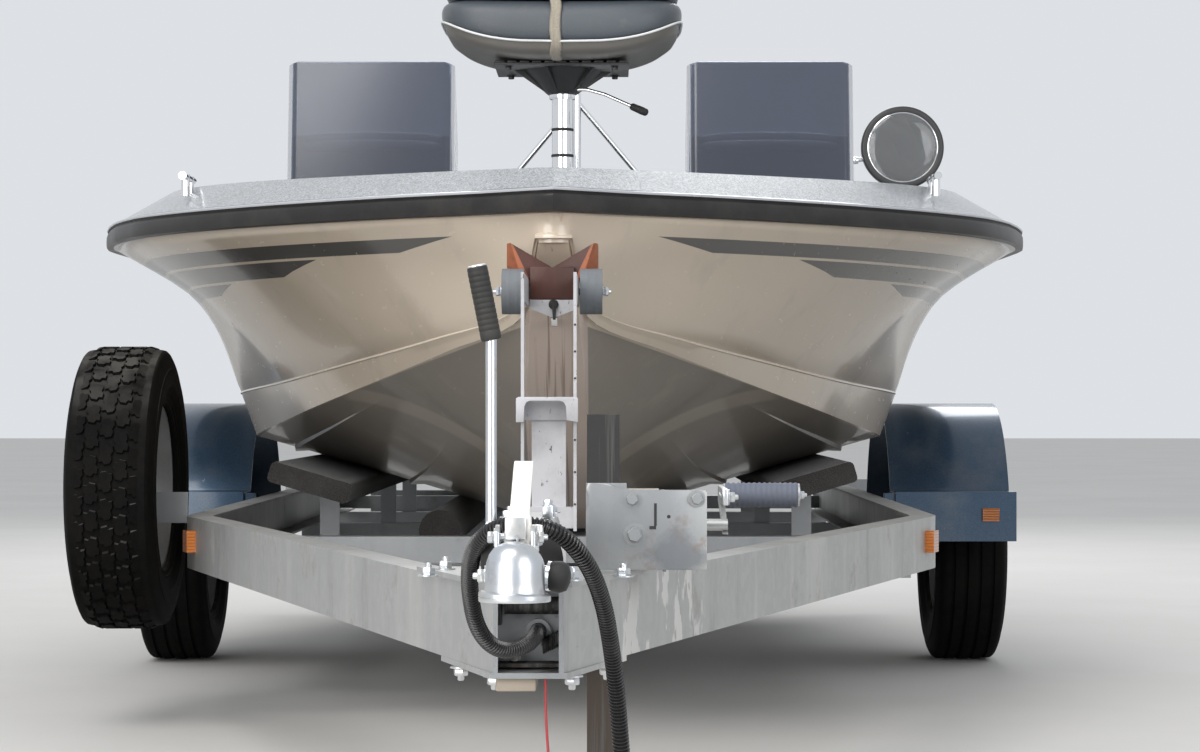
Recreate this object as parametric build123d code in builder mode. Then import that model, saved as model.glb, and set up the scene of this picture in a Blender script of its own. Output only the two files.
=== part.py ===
from build123d import *
from math import asin, atan2, cos, degrees, radians, sin, tan
import os

os.makedirs("parts", exist_ok=True)

# Fishing boat on its road trailer. Millimetres, floor at Z 0, bow towards -Y, port side +X.
# Stations along the boat are given as distances aft of the bow tip, those along the
# trailer as distances aft of the front of its nose.

# Driving sizes
hull_length = 4950
half_beam = 1162
bow_y = -1620
keel_z = 432
sheer_z = 1138
nose_y = -3390
axle_y = 1260
rail_half_width = 845
rail_top = 492
rail_height = 120
beam_half = 985
hub_offset = 165
wheel_x = beam_half + hub_offset
tyre_radius = 330
tyre_width = 205
seat_gap = 0.3
conduit_diameter = 24

transom_y = bow_y + hull_length


def boat_y(station):
    return bow_y + station


def trailer_y(station):
    return nose_y + station


def save(builder, name):
    """Label a finished piece and write it to its own file."""
    builder.part.label = name
    export_step(builder.part, f"parts/{name}.step")


# Plan of the rub rail's outer edge: two arcs round the bow, then a nearly straight side
max_beam_station = 1667
transom_half = 1120
rail_depth = 52
rub_thickness = 27
bow_break = (0.606 * half_beam, boat_y(571))
bow_arc = ThreePointArc((0, bow_y), (0.302 * half_beam, boat_y(256)), bow_break, mode=Mode.PRIVATE)
beam_arc = ThreePointArc(
    bow_break, (0.861 * half_beam, boat_y(980)), (half_beam, boat_y(max_beam_station)), mode=Mode.PRIVATE
)
side_line = Line((half_beam, boat_y(max_beam_station)), (transom_half, transom_y), mode=Mode.PRIVATE)


def half_breadth(y):
    """Half width of the rub rail's outer edge at one Y."""
    for edge in (bow_arc, beam_arc, side_line):
        if edge.position_at(0).Y <= y <= edge.position_at(1).Y + 0.001:
            low, high = 0.0, 1.0
            for _ in range(40):
                middle = (low + high) / 2
                if edge.position_at(middle).Y < y:
                    low = middle
                else:
                    high = middle
            return edge.position_at(low).X
    return 0.0


def sheer_plan(inset):
    """Plan of the boat as a sketch, drawn in from the rub rail's outer edge."""
    with BuildSketch() as plan:
        with BuildLine():
            add([bow_arc, beam_arc, side_line])
            Line((transom_half, transom_y), (0, transom_y))
            mirror(about=Plane.YZ)
        make_face()
        if inset:
            offset(amount=-inset, kind=Kind.INTERSECTION, mode=Mode.REPLACE)
    return plan.sketch


# Hull
hull_wall = 8
transom_wall = 45
parallel_station = 2250
flange_inset = rub_thickness
# station, then keel, lower chine, upper chine and knuckle:
# each half width as a share of the half beam, each height above the keel
hull_sections = [
    (60, 0.026, 645, 0.028, 652, 0.030, 660, 0.031, 680),
    (180, 0.046, 493, 0.058, 500, 0.066, 516, 0.110, 610),
    (400, 0.056, 318, 0.202, 418, 0.215, 448, 0.315, 596),
    (700, 0.057, 158, 0.349, 350, 0.370, 392, 0.540, 584),
    (1275, 0.053, 18, 0.551, 283, 0.585, 350, 0.770, 578),
    (parallel_station, 0.050, 0, 0.7315, 233, 0.766, 328, 0.855, 580),
]
transom_section = (hull_length, 0.050, 0, 0.7315, 233, 0.762, 322, 0.830, 573)
bow_stations = [60, 110, 180, 280, 400, 540, 700, 880, 1070, 1275, 1560, 1880, parallel_station]
topside_steps = 5
keel_half = 0.050 * half_beam
chine_half = 0.7315 * half_beam
chine_rise = 233
deadrise = atan2(chine_rise, chine_half - keel_half)


def curve_at(table, at):
    """Smooth curve through (place, value) pairs, without overshoot."""
    slopes = []
    for i in range(len(table)):
        first = table[max(i - 1, 0)]
        last = table[min(i + 1, len(table) - 1)]
        if i in (0, len(table) - 1):
            slopes.append((last[1] - first[1]) / (last[0] - first[0]))
            continue
        before = (table[i][1] - first[1]) / (table[i][0] - first[0])
        after = (last[1] - table[i][1]) / (last[0] - table[i][0])
        slopes.append(0.0 if before * after <= 0 else 2 * before * after / (before + after))
    i = max(k for k in range(len(table) - 1) if k == 0 or table[k][0] <= at)
    width = table[i + 1][0] - table[i][0]
    t = min(1.0, max(0.0, (at - table[i][0]) / width))
    start = (2 * t**3 - 3 * t**2 + 1) * table[i][1] + (t**3 - 2 * t**2 + t) * width * slopes[i]
    return start + (3 * t**2 - 2 * t**3) * table[i + 1][1] + (t**3 - t**2) * width * slopes[i + 1]


def section_at(station):
    """Hull section at one station, on smooth curves through the table."""
    columns = [[(section[0], section[i]) for section in hull_sections] for i in range(1, 9)]
    return (station, *[curve_at(column, station) for column in columns])


def hull_points(section, wall=0, top=sheer_z):
    """Closed outline of one hull section, drawn in by the wall."""
    station, kx, kz, ax, az, bx, bz, nx, nz = section
    knuckle_x = nx * half_beam
    sheer_x = max(half_breadth(boat_y(station)) - flange_inset - 1, knuckle_x + 2)
    side = [(keel_z + bz, bx * half_beam), (keel_z + nz, knuckle_x), (sheer_z, sheer_x)]
    half = [
        (kx * half_beam, keel_z + kz + wall),
        (ax * half_beam - wall, keel_z + az + wall),
        (bx * half_beam - wall, keel_z + bz + wall / 2),
    ]
    for step in range(1, topside_steps):
        height = side[0][0] + (sheer_z - side[0][0]) * step / topside_steps
        half.append((curve_at(side, height) - wall, height))
    half.append((sheer_x - wall, top))
    return [(-x, z) for x, z in reversed(half)] + half


def hull_face(section, y, wall=0, top=sheer_z):
    """One hull section as a sketch at its place along the boat."""
    with BuildSketch(Plane.XZ.offset(-y)) as face:
        with BuildLine():
            Polyline(*hull_points(section, wall, top), close=True)
        make_face()
    return face.sketch


smooth_sections = [section_at(station) for station in bow_stations]
inside = (hull_wall, sheer_z + 20)
with BuildPart() as hull_space:
    loft(
        [
            hull_face(section, min(boat_y(section[0]), transom_y - transom_wall), *inside)
            for section in smooth_sections[4:] + [transom_section]
        ],
        ruled=True,
    )
motor_notch_half = 360
motor_notch_z = 960
with BuildPart() as hull:
    hull_form = smooth_sections + [transom_section]
    loft([hull_face(section, boat_y(section[0])) for section in hull_form], ruled=True)
    add(hull_space.part, mode=Mode.SUBTRACT)
    with BuildSketch(Plane.XY.offset(sheer_z)):
        with Locations((0, boat_y(hull_length / 2))):
            Rectangle(3 * half_beam, hull_length + 400)
    extrude(amount=200, mode=Mode.SUBTRACT)
    with BuildSketch(Plane.XY.offset(motor_notch_z)):
        with Locations((0, transom_y)):
            Rectangle(2 * motor_notch_half, 4 * transom_wall)
    extrude(amount=400, mode=Mode.SUBTRACT)
save(hull, "hull")

# Rub rail round the sheer
with BuildPart() as rub_rail:
    with BuildSketch(Plane.XY.offset(sheer_z)):
        add(sheer_plan(0))
        add(sheer_plan(rub_thickness), mode=Mode.SUBTRACT)
    extrude(amount=rail_depth)
    with BuildSketch(Plane.XY.offset(sheer_z - 1)):
        with Locations((0, transom_y)):
            Rectangle(2 * transom_half - 2 * rub_thickness, 4 * rub_thickness)
    extrude(amount=rail_depth + 2, mode=Mode.SUBTRACT)
save(rub_rail, "rub_rail")

# Deck cap: a bevelled shoe-box moulding with the cockpit, locker and motor openings
cap_wall = 14
bevel_rise = 110
bevel_inset = 190
deck_bow_z = 1233
deck_z = 1280
cockpit_back = hull_length - 1000
cockpit_front = cockpit_back - 1500
deck_level_station = cockpit_front - 700
cap_base = sheer_z + rail_depth


def cap_block(drop, base):
    """Solid of the deck cap's outer form, drawn in and down by the drop."""
    with BuildPart() as block:
        with BuildSketch(Plane.XY.offset(base)):
            add(sheer_plan(flange_inset + drop))
        extrude(amount=cap_base - drop / 2 - base)
        with BuildSketch(Plane.XY.offset(cap_base - drop / 2)):
            add(sheer_plan(flange_inset + drop))
        with BuildSketch(Plane.XY.offset(cap_base - drop / 2 + bevel_rise)):
            add(sheer_plan(flange_inset + drop + bevel_inset))
        loft()
        with BuildSketch(Plane.YZ):
            with BuildLine():
                Polyline(
                    (boat_y(-200), base - 1),
                    (boat_y(-200), deck_bow_z - drop - 5),
                    (boat_y(0), deck_bow_z - drop),
                    (boat_y(deck_level_station), deck_z - drop),
                    (transom_y + 200, deck_z - drop),
                    (transom_y + 200, base - 1),
                    close=True,
                )
            make_face()
        extrude(amount=2 * half_beam, both=True, mode=Mode.INTERSECT)
    return block.part


cockpit_half = 850
cockpit_corner = 60
well_front = hull_length - 470
well_half = motor_notch_half
well_floor = 1000
# bow lids on both sides, then the aft lid: centre x, first and last station, half width
lid_edge = 5
lid_wall = 20
ledge = 20
bow_lid = (310, cockpit_front - 650, cockpit_front - 70, 250)
aft_lid = (0, well_front - 410, well_front - 40, 300)
hatches = [bow_lid, (-bow_lid[0],) + bow_lid[1:], aft_lid]


def hatch_sketch(hatch, grow):
    """Rectangle of one hatch opening, grown on all sides."""
    x, first, last, half = hatch
    with BuildSketch() as opening:
        with Locations((x, boat_y((first + last) / 2))):
            Rectangle(2 * half + 2 * grow, last - first + 2 * grow)
    return opening.sketch


with BuildPart() as deck:
    add(cap_block(0, sheer_z))
    add(cap_block(cap_wall, sheer_z - 1), mode=Mode.SUBTRACT)
    # hatch frames under the deck, each with a ledge for its lid
    with BuildSketch(Plane.XY.offset(deck_z - lid_wall - seat_gap - 6)):
        for hatch in hatches:
            add(hatch_sketch(hatch, 8))
    extrude(amount=lid_wall + seat_gap + 6)
    with BuildSketch(Plane.XY.offset(deck_z - lid_wall - seat_gap)):
        for hatch in hatches:
            add(hatch_sketch(hatch, 0))
    extrude(amount=100, mode=Mode.SUBTRACT)
    with BuildSketch(Plane.XY.offset(sheer_z - 1)):
        for hatch in hatches:
            add(hatch_sketch(hatch, -ledge))
        with Locations((0, boat_y((cockpit_front + cockpit_back) / 2))):
            RectangleRounded(2 * cockpit_half, cockpit_back - cockpit_front, cockpit_corner)
        with Locations((0, boat_y((well_front + hull_length + 300) / 2))):
            Rectangle(2 * well_half, hull_length + 300 - well_front)
    extrude(amount=300, mode=Mode.SUBTRACT)
save(deck, "deck")

# Cockpit tub and motor well, hung under the deck
tub_wall = 12
sole_z = 800
seat_station = cockpit_back - 620
plinth_height = 250
seat_x = 420
with BuildPart() as cockpit:
    cockpit_centre = boat_y((cockpit_front + cockpit_back) / 2)
    cockpit_length = cockpit_back - cockpit_front
    with BuildSketch(Plane.XY.offset(sole_z - tub_wall)):
        with Locations((0, cockpit_centre)):
            RectangleRounded(
                2 * (cockpit_half + tub_wall), cockpit_length + 2 * tub_wall, cockpit_corner + tub_wall
            )
    extrude(amount=deck_z - cap_wall - sole_z + tub_wall)
    with BuildSketch(Plane.XY.offset(sole_z)):
        with Locations((0, cockpit_centre)):
            RectangleRounded(2 * cockpit_half, cockpit_length, cockpit_corner)
    extrude(amount=deck_z, mode=Mode.SUBTRACT)
    # plinths of the helm seats
    for side in (-1, 1):
        with BuildSketch(Plane.XY.offset(sole_z - 1)):
            with Locations((side * seat_x, boat_y(seat_station + 190))):
                RectangleRounded(420, 380, 40)
        extrude(amount=1 + plinth_height)
save(cockpit, "cockpit_tub")

with BuildPart() as motor_well:
    well_back = transom_y - transom_wall
    with BuildSketch(Plane.XY.offset(well_floor - tub_wall)):
        with Locations((0, (boat_y(well_front) - tub_wall + well_back) / 2)):
            Rectangle(2 * (well_half + tub_wall), well_back - boat_y(well_front) + tub_wall)
    extrude(amount=deck_z - cap_wall - well_floor + tub_wall)
    with BuildSketch(Plane.XY.offset(well_floor)):
        with Locations((0, boat_y((well_front + hull_length + 300) / 2))):
            Rectangle(2 * well_half, hull_length + 300 - well_front)
    extrude(amount=deck_z, mode=Mode.SUBTRACT)
    add(cap_block(cap_wall, well_floor - 2 * tub_wall), mode=Mode.INTERSECT)
save(motor_well, "motor_well")

# Lids of the lockers, hinged on their outer or forward edge
lid_names = ["bow_lid_left", "bow_lid_right", "aft_lid"]
for name, hatch in zip(lid_names, [hatches[1], hatches[0], hatches[2]]):
    with BuildPart() as lid:
        with BuildSketch(Plane.XY.offset(deck_z - lid_wall)):
            add(hatch_sketch(hatch, -lid_edge))
        extrude(amount=lid_wall)
        fillet(lid.edges().filter_by(Axis.Z), 20)
    save(lid, name)

# Twin consoles with wrap-round windscreens
console_x = 570
console_width = 480
console_front = cockpit_front + 60
console_back = console_front + 450
console_top = 1529
shoulder_z = 1300
screen_wall = 6
screen_top = 1740
screen_rake = radians(9)
console_profile = [
    (console_front, sole_z + seat_gap),
    (console_front, shoulder_z),
    (console_front + 30, shoulder_z),
    (console_front + 75, console_top - 60),
    (console_front + 130, console_top),
    (console_back - 120, console_top - 20),
    (console_back, console_top - 180),
    (console_back, shoulder_z - 160),
    (console_back - 160, shoulder_z - 200),
    (console_back - 160, sole_z + seat_gap),
]
console_wall = 16
console_space = [
    (console_front + console_wall, sole_z - 1),
    (console_front + console_wall, shoulder_z - console_wall),
    (console_front + 90, console_top - 90),
    (console_front + 140, console_top - 20),
    (console_back - 140, console_top - 45),
    (console_back - console_wall, console_top - 195),
    (console_back - console_wall, shoulder_z - 145),
    (console_back - 140, shoulder_z - 185),
    (console_back - 140, sole_z + 330),
    (console_back - 140, sole_z + 300),
    (console_back, sole_z + 290),
    (console_back, sole_z - 1),
]

# Steering axis: it leans back from the starboard console
wheel_rim = 175
helm_point = (-console_x, boat_y(console_back) + 70, console_top - 230)
helm_tilt = 25
helm_axis = (0, cos(radians(helm_tilt)), sin(radians(helm_tilt)))
helm_plane = Plane(origin=helm_point, x_dir=(1, 0, 0), z_dir=helm_axis)
shaft_radius = 14
shaft_length = 115


def console(side):
    """Moulded hollow console with a shoulder that carries the windscreen."""
    with BuildPart() as moulding:
        with BuildSketch(Plane.YZ.offset(side * console_x - console_width / 2)):
            with BuildLine():
                Polyline(*[(boat_y(station), z) for station, z in console_profile], close=True)
            make_face()
        extrude(amount=console_width)
        fillet(moulding.edges().filter_by(Axis.X).group_by(Axis.Z)[-1], 25)
        # narrower above the shoulder, so that the screen wraps the upper part
        with BuildSketch(Plane.XY.offset(shoulder_z)):
            for edge in (-1, 1):
                with Locations((side * console_x + edge * console_width / 2, boat_y(console_front + 200))):
                    Rectangle(2 * (screen_wall + 3), 400)
        extrude(amount=400, mode=Mode.SUBTRACT)
        # hollow inside, open under and behind for the feet
        with BuildSketch(Plane.YZ.offset(side * console_x - console_width / 2 + console_wall)):
            with BuildLine():
                Polyline(*[(boat_y(station), z) for station, z in console_space], close=True)
            make_face()
        extrude(amount=console_width - 2 * console_wall, mode=Mode.SUBTRACT)
        with BuildSketch(helm_plane):
            with Locations((side * console_x - helm_point[0], 0)):
                Circle(shaft_radius + seat_gap)
        if side < 0:
            extrude(amount=-200, mode=Mode.SUBTRACT)
    return moulding.part


def windscreen(side):
    """Raked screen round the front and sides of one console."""
    with BuildPart() as screen:
        with BuildSketch(Plane.XY.offset(shoulder_z + seat_gap)):
            with Locations((side * console_x, boat_y(console_front + 2 + 150))):
                RectangleRounded(console_width - 4, 300, 26)
                RectangleRounded(
                    console_width - 4 - 2 * screen_wall, 300 - 2 * screen_wall, 26 - screen_wall,
                    mode=Mode.SUBTRACT,
                )
            with Locations((side * console_x, boat_y(console_front + 300))):
                Rectangle(console_width, 130, mode=Mode.SUBTRACT)
        slope = (0, sin(screen_rake), cos(screen_rake))
        extrude(amount=(screen_top - shoulder_z) / cos(screen_rake), dir=slope)
    return screen.part


with BuildPart() as consoles:
    add([console(side) for side in (-1, 1)])
save(consoles, "consoles")
with BuildPart() as windscreens:
    add([windscreen(side) for side in (-1, 1)])
save(windscreens, "windscreens")

# Steering wheel with its shaft in the starboard console
with BuildPart() as steering_wheel:
    with BuildSketch(helm_plane):
        Circle(shaft_radius)
    extrude(amount=-shaft_length)
    with BuildSketch(helm_plane):
        Circle(30)
    extrude(amount=24, both=True)
    with BuildSketch(helm_plane):
        with PolarLocations(wheel_rim / 2, 3, start_angle=90):
            Rectangle(wheel_rim, 24)
    extrude(amount=5, both=True)
    with BuildSketch(Plane(origin=helm_plane.origin, x_dir=helm_plane.x_dir, z_dir=helm_plane.y_dir)):
        with Locations((wheel_rim, 0)):
            Circle(14)
    revolve(axis=Axis(helm_plane.origin, helm_plane.z_dir))
save(steering_wheel, "steering_wheel")

# Helm seats: cushion and backrest as one padded piece, on the tub's plinths
seat_base = plinth_height + seat_gap
seat_profile = [
    (-30, seat_base), (-34, 340), (-20, 372), (120, 366), (262, 358), (306, 372), (332, 420), (390, 660),
    (412, 695), (450, 702), (478, 684), (470, 560), (425, 330), (410, seat_base),
]
with BuildPart() as helm_seats:
    for side in (-1, 1):
        with BuildSketch(Plane.YZ.offset(side * seat_x - 240)):
            with BuildLine():
                outline = [(boat_y(seat_station + back), sole_z + up) for back, up in seat_profile]
                Polyline(*outline, close=True)
            make_face()
        extrude(amount=480)
    for side in (-1, 1):
        # side bolsters, a little prouder than the middle
        for edge in (-1, 1):
            with BuildSketch(Plane.YZ.offset(side * seat_x + edge * 200 - 40)):
                with BuildLine():
                    bolster = [(-20, 300), (-10, 396), (240, 386), (296, 396), (300, 300)]
                    outline = [(boat_y(seat_station + back), sole_z + up) for back, up in bolster]
                    Polyline(*outline, close=True)
                make_face()
            extrude(amount=80)
save(helm_seats, "helm_seats")

# Bow seat on its pedestal
pedestal_station = 1150
pedestal_radius = 25
pedestal_top = 1488
seat_bottom = 1556
pad_height = 135
deck_slope = (deck_z - deck_bow_z) / deck_level_station
pedestal_foot = deck_bow_z
with BuildPart() as bow_pedestal:
    with BuildSketch(Plane.XY.offset(pedestal_foot)):
        with Locations((0, boat_y(pedestal_station))):
            Circle(85)
    extrude(amount=deck_slope * pedestal_station + 14)
    with BuildSketch(Plane.XY.offset(pedestal_foot)):
        with Locations((0, boat_y(pedestal_station))):
            Circle(pedestal_radius)
    extrude(amount=pedestal_top - pedestal_foot)
    add(cap_block(0, sheer_z), mode=Mode.SUBTRACT)
save(bow_pedestal, "bow_pedestal")

with BuildPart() as seat_mount:
    with BuildSketch(Plane.XY.offset(pedestal_top + seat_gap)):
        with Locations((0, boat_y(pedestal_station))):
            Circle(30)
    with BuildSketch(Plane.XY.offset(seat_bottom - 8)):
        with Locations((0, boat_y(pedestal_station))):
            Circle(95)
    loft()
    with BuildSketch(Plane.XY.offset(seat_bottom - 8)):
        with Locations((0, boat_y(pedestal_station))):
            RectangleRounded(260, 260, 20)
    extrude(amount=8 - seat_gap)
save(seat_mount, "bow_seat_mount")

with BuildPart() as bow_seat:
    with BuildSketch(Plane.XY.offset(seat_bottom)):
        with Locations((0, boat_y(pedestal_station) - 10)):
            RectangleRounded(570, 470, 90)
    extrude(amount=pad_height)
    fillet(bow_seat.edges().group_by(Axis.Z)[0] + bow_seat.edges().group_by(Axis.Z)[-1], 45)
save(bow_seat, "bow_seat_pad")
with BuildPart() as bow_back:
    with BuildSketch(Plane.XY.offset(seat_bottom + pad_height + seat_gap)):
        with Locations((0, boat_y(pedestal_station) - 10)):
            RectangleRounded(560, 450, 90)
    extrude(amount=100)
    fillet(bow_back.edges().group_by(Axis.Z)[0] + bow_back.edges().group_by(Axis.Z)[-1], 40)
save(bow_back, "bow_seat_back")

# Tow pylon behind the cockpit, with two braces
pylon_top = 1788
pylon_radius = 15
brace_radius = 9
pylon_point = (0, boat_y(cockpit_back + 50))
brace_foot = (404, pylon_point[1] + 20)
with BuildPart() as pylon:
    with BuildSketch(Plane.XY.offset(deck_z + seat_gap)):
        with Locations(pylon_point):
            Circle(45)
        with Locations((brace_foot[0], brace_foot[1]), (-brace_foot[0], brace_foot[1])):
            Circle(30)
    extrude(amount=6)
    with BuildSketch(Plane.XY.offset(deck_z + seat_gap)):
        with Locations(pylon_point):
            Circle(pylon_radius)
    extrude(amount=pylon_top - deck_z)
    for side in (-1, 1):
        foot = Vector(side * brace_foot[0], brace_foot[1], deck_z + 4)
        head = Vector(0, pylon_point[1], pylon_top - 25)
        with BuildSketch(Plane(foot, z_dir=head - foot)):
            Circle(brace_radius)
        extrude(amount=(head - foot).length)
    add(cap_block(-seat_gap, sheer_z), mode=Mode.SUBTRACT)
save(pylon, "tow_pylon")

# Searchlight, cleats and bow eye
lamp_x = 813
lamp_station = 1170
lamp_z = 1366
lamp_radius = 98
# radius and distance back from the front of the bezel
lamp_profile = [
    (0, 12), (60, 9), (84, 14), (86, 0), (lamp_radius - 3, 0), (lamp_radius, 4), (lamp_radius, 20), (92, 26),
    (88, 42), (76, 62), (56, 78), (34, 87), (0, 90),
]
with BuildPart() as searchlight:
    lamp_y = boat_y(lamp_station)
    with BuildSketch(Plane.YZ.offset(lamp_x)):
        with BuildLine():
            Polyline(*[(lamp_y + back, lamp_z + radius) for radius, back in lamp_profile], close=True)
        make_face()
    revolve(axis=Axis((lamp_x, lamp_y, lamp_z), (0, 1, 0)))
    with BuildSketch(Plane.XY.offset(deck_bow_z)):
        with Locations((lamp_x, boat_y(lamp_station) + 40)):
            Circle(28)
    extrude(amount=lamp_z - deck_bow_z)
    add(cap_block(0, sheer_z), mode=Mode.SUBTRACT)
save(searchlight, "searchlight")

cleat_station = 930
eye_station = 152
eye_z = 940
with BuildPart() as cleats:
    for side in (-1, 1):
        foot_y = boat_y(cleat_station)
        foot_x = side * (half_breadth(foot_y) - flange_inset - 85)
        with BuildSketch(Plane.XY.offset(cap_base + 40)):
            with Locations((foot_x, foot_y - 35), (foot_x, foot_y + 35)):
                Circle(10)
        extrude(amount=50)
        with BuildSketch(Plane.XZ.offset(-foot_y + 85)):
            with Locations((foot_x, cap_base + 84)):
                Circle(9)
        extrude(amount=-170)
    add(cap_block(0, sheer_z), mode=Mode.SUBTRACT)

    # bow eye for the winch hook
    with BuildSketch(Plane.YZ.offset(-6)):
        with Locations((boat_y(eye_station), eye_z)):
            Circle(30)
            Circle(17, mode=Mode.SUBTRACT)
    extrude(amount=12)
    bow_form = [hull_face(section, boat_y(section[0])) for section in smooth_sections[:7]]
    loft(bow_form, ruled=True, mode=Mode.SUBTRACT)
save(cleats, "cleats_and_eye")

# Trailer frame: channels from the nose to the transom
channel_width = 60
channel_wall = 6
bend_station = 2765
frame_end = 6650
rail_mid = rail_top - rail_height / 2
arm_start = 200
arm_front_x = 78.390033
arm_angle = atan2(rail_half_width - arm_front_x, bend_station - arm_start)
nose_half = 50
channel_half_x = channel_width / 2 / cos(arm_angle)


def arm_x(station):
    """Centre line of one drawbar arm, from the bend back to the nose."""
    return rail_half_width - (bend_station - station) * tan(arm_angle)


cheek_back = arm_x(arm_start + 40) + channel_half_x
with BuildPart() as frame_rails:
    for side in (-1, 1):
        with BuildLine() as rail_path:
            FilletPolyline(
                (side * arm_x(arm_start), trailer_y(arm_start), rail_mid),
                (side * rail_half_width, trailer_y(bend_station), rail_mid),
                (side * rail_half_width, trailer_y(frame_end), rail_mid),
                radius=300,
            )
        start = rail_path.wires()[0]
        rail_plane = Plane(
            start.position_at(0),
            x_dir=(cos(arm_angle), -side * sin(arm_angle), 0),
            z_dir=start.tangent_at(0),
        )
        with BuildSketch(rail_plane):
            Rectangle(channel_width, rail_height)
            with Locations((-side * channel_wall, 0)):
                Rectangle(channel_width, rail_height - 2 * channel_wall, mode=Mode.SUBTRACT)
        sweep(path=start)
        # closed cheek of the nose in front of the arm
        with BuildSketch(Plane.XY.offset(rail_top - rail_height)):
            with BuildLine():
                Polyline(
                    (side * nose_half, trailer_y(0)),
                    (side * cheek_back, trailer_y(arm_start + 40)),
                    (side * (cheek_back - 7), trailer_y(arm_start + 40)),
                    (side * (nose_half - 7), trailer_y(0)),
                    close=True,
                )
            make_face()
        extrude(amount=rail_height)
save(frame_rails, "frame_rails")


def box(x_range, y_range, z_range):
    """Plain block between two limits on each axis, added to the active part."""
    with BuildPart() as block:
        with BuildSketch(Plane.XY.offset(z_range[0])):
            with Locations(((x_range[0] + x_range[1]) / 2, (y_range[0] + y_range[1]) / 2)):
                Rectangle(x_range[1] - x_range[0], y_range[1] - y_range[0])
        extrude(amount=z_range[1] - z_range[0])
    return block.part


# Gusset plates over and under the nose: height, first and last station, half widths there
gusset_wall = 8
gussets = [(rail_top, 20, 420, 62, 185), (rail_top - rail_height - gusset_wall, 0, 300, 55, 140)]
with BuildPart() as frame_brackets:
    for z, first, last, front_half, back_half in gussets:
        with BuildSketch(Plane.XY.offset(z)):
            with BuildLine():
                Polyline(
                    (-front_half, trailer_y(first)),
                    (front_half, trailer_y(first)),
                    (back_half, trailer_y(last)),
                    (-back_half, trailer_y(last)),
                    close=True,
                )
            make_face()
        extrude(amount=gusset_wall)
# Crossbeams: the first between the channels at the bend, the others under the rails
beam_size = 60
post_station = 1400
rail_bottom = rail_top - rail_height
under_beam_top = rail_bottom
under_beams = [(3400, rail_half_width + 30), (5400, rail_half_width + 30),
               (6400, rail_half_width + 30)]
keel_roller_radius = 45
keel_roller_half = 60
keel_roller_reach = 82
keel_pin = 8
keel_roller_z = keel_z - keel_roller_radius - seat_gap
with BuildPart() as crossbeams:
    for station, half in under_beams:
        with BuildSketch(Plane.YZ.offset(-half)):
            with Locations((trailer_y(station), under_beam_top - beam_size / 2)):
                Rectangle(beam_size, beam_size)
                Rectangle(beam_size - 10, beam_size - 10, mode=Mode.SUBTRACT)
        extrude(amount=2 * half)
    # beam of the winch post, on the lower flanges of the arms
    post_beam_half = arm_x(post_station) + 12
    with BuildSketch(Plane.YZ.offset(-post_beam_half)):
        with Locations((trailer_y(post_station), rail_bottom + channel_wall + beam_size / 2)):
            Rectangle(beam_size, beam_size)
            Rectangle(beam_size - 10, beam_size - 10, mode=Mode.SUBTRACT)
    extrude(amount=2 * post_beam_half)
    web_x = rail_half_width + channel_width / 2 - channel_wall
    front_beam_y = (trailer_y(bend_station + 75), trailer_y(bend_station + 135))
    add(box((-web_x, web_x), front_beam_y, (rail_bottom + channel_wall, 440)))
    # brackets of the keel rollers, on the front of each beam under the keel
    for station, half in under_beams:
        front = trailer_y(station) - beam_size / 2
        for side in (-1, 1):
            inner = side * (keel_roller_half + 1)
            outer = side * (keel_roller_half + 9)
            add(box(sorted((inner, outer)), (front - keel_roller_reach, front), (under_beam_top - 50, 408)))
        with BuildSketch(Plane.YZ.offset(-keel_roller_half - 14)):
            with Locations((front - keel_roller_reach + 30, keel_roller_z)):
                Circle(keel_pin)
        extrude(amount=2 * keel_roller_half + 28)

with BuildPart() as keel_rollers:
    for station, half in under_beams:
        with BuildSketch(Plane.YZ.offset(-keel_roller_half)):
            with Locations((trailer_y(station) - beam_size / 2 - keel_roller_reach + 30, keel_roller_z)):
                Circle(keel_roller_radius)
                Circle(keel_pin + seat_gap, mode=Mode.SUBTRACT)
        extrude(amount=2 * keel_roller_half)

# Bunks under the bottom: flat outer boards and round inner ones, both carpeted
outer_bunk_x = 594
outer_bunk = (200, 50)
outer_bunk_stations = (2900, 6500)
inner_bunk_x = 280
inner_bunk_radius = 50
inner_bunk_stations = (2950, 6300)


def under_hull(x, depth):
    """Point the given depth below the planing bottom, measured square to it."""
    surface = keel_z + (x - keel_half) * tan(deadrise)
    return (x + depth * sin(deadrise), surface - depth * cos(deadrise))


outer_centre = under_hull(outer_bunk_x, outer_bunk[1] / 2 + seat_gap)
inner_centre = under_hull(inner_bunk_x, inner_bunk_radius + seat_gap)
with BuildPart() as bunks:
    for side in (-1, 1):
        with BuildSketch(Plane.XZ.offset(-trailer_y(outer_bunk_stations[0]))):
            with Locations((side * outer_centre[0], outer_centre[1])):
                RectangleRounded(*outer_bunk, 12, rotation=side * degrees(deadrise))
        extrude(amount=outer_bunk_stations[0] - outer_bunk_stations[1])
        with BuildSketch(Plane.XZ.offset(-trailer_y(inner_bunk_stations[0]))):
            with Locations((side * inner_centre[0], inner_centre[1])):
                Circle(inner_bunk_radius)
        extrude(amount=inner_bunk_stations[0] - inner_bunk_stations[1])
save(bunks, "bunks")

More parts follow.
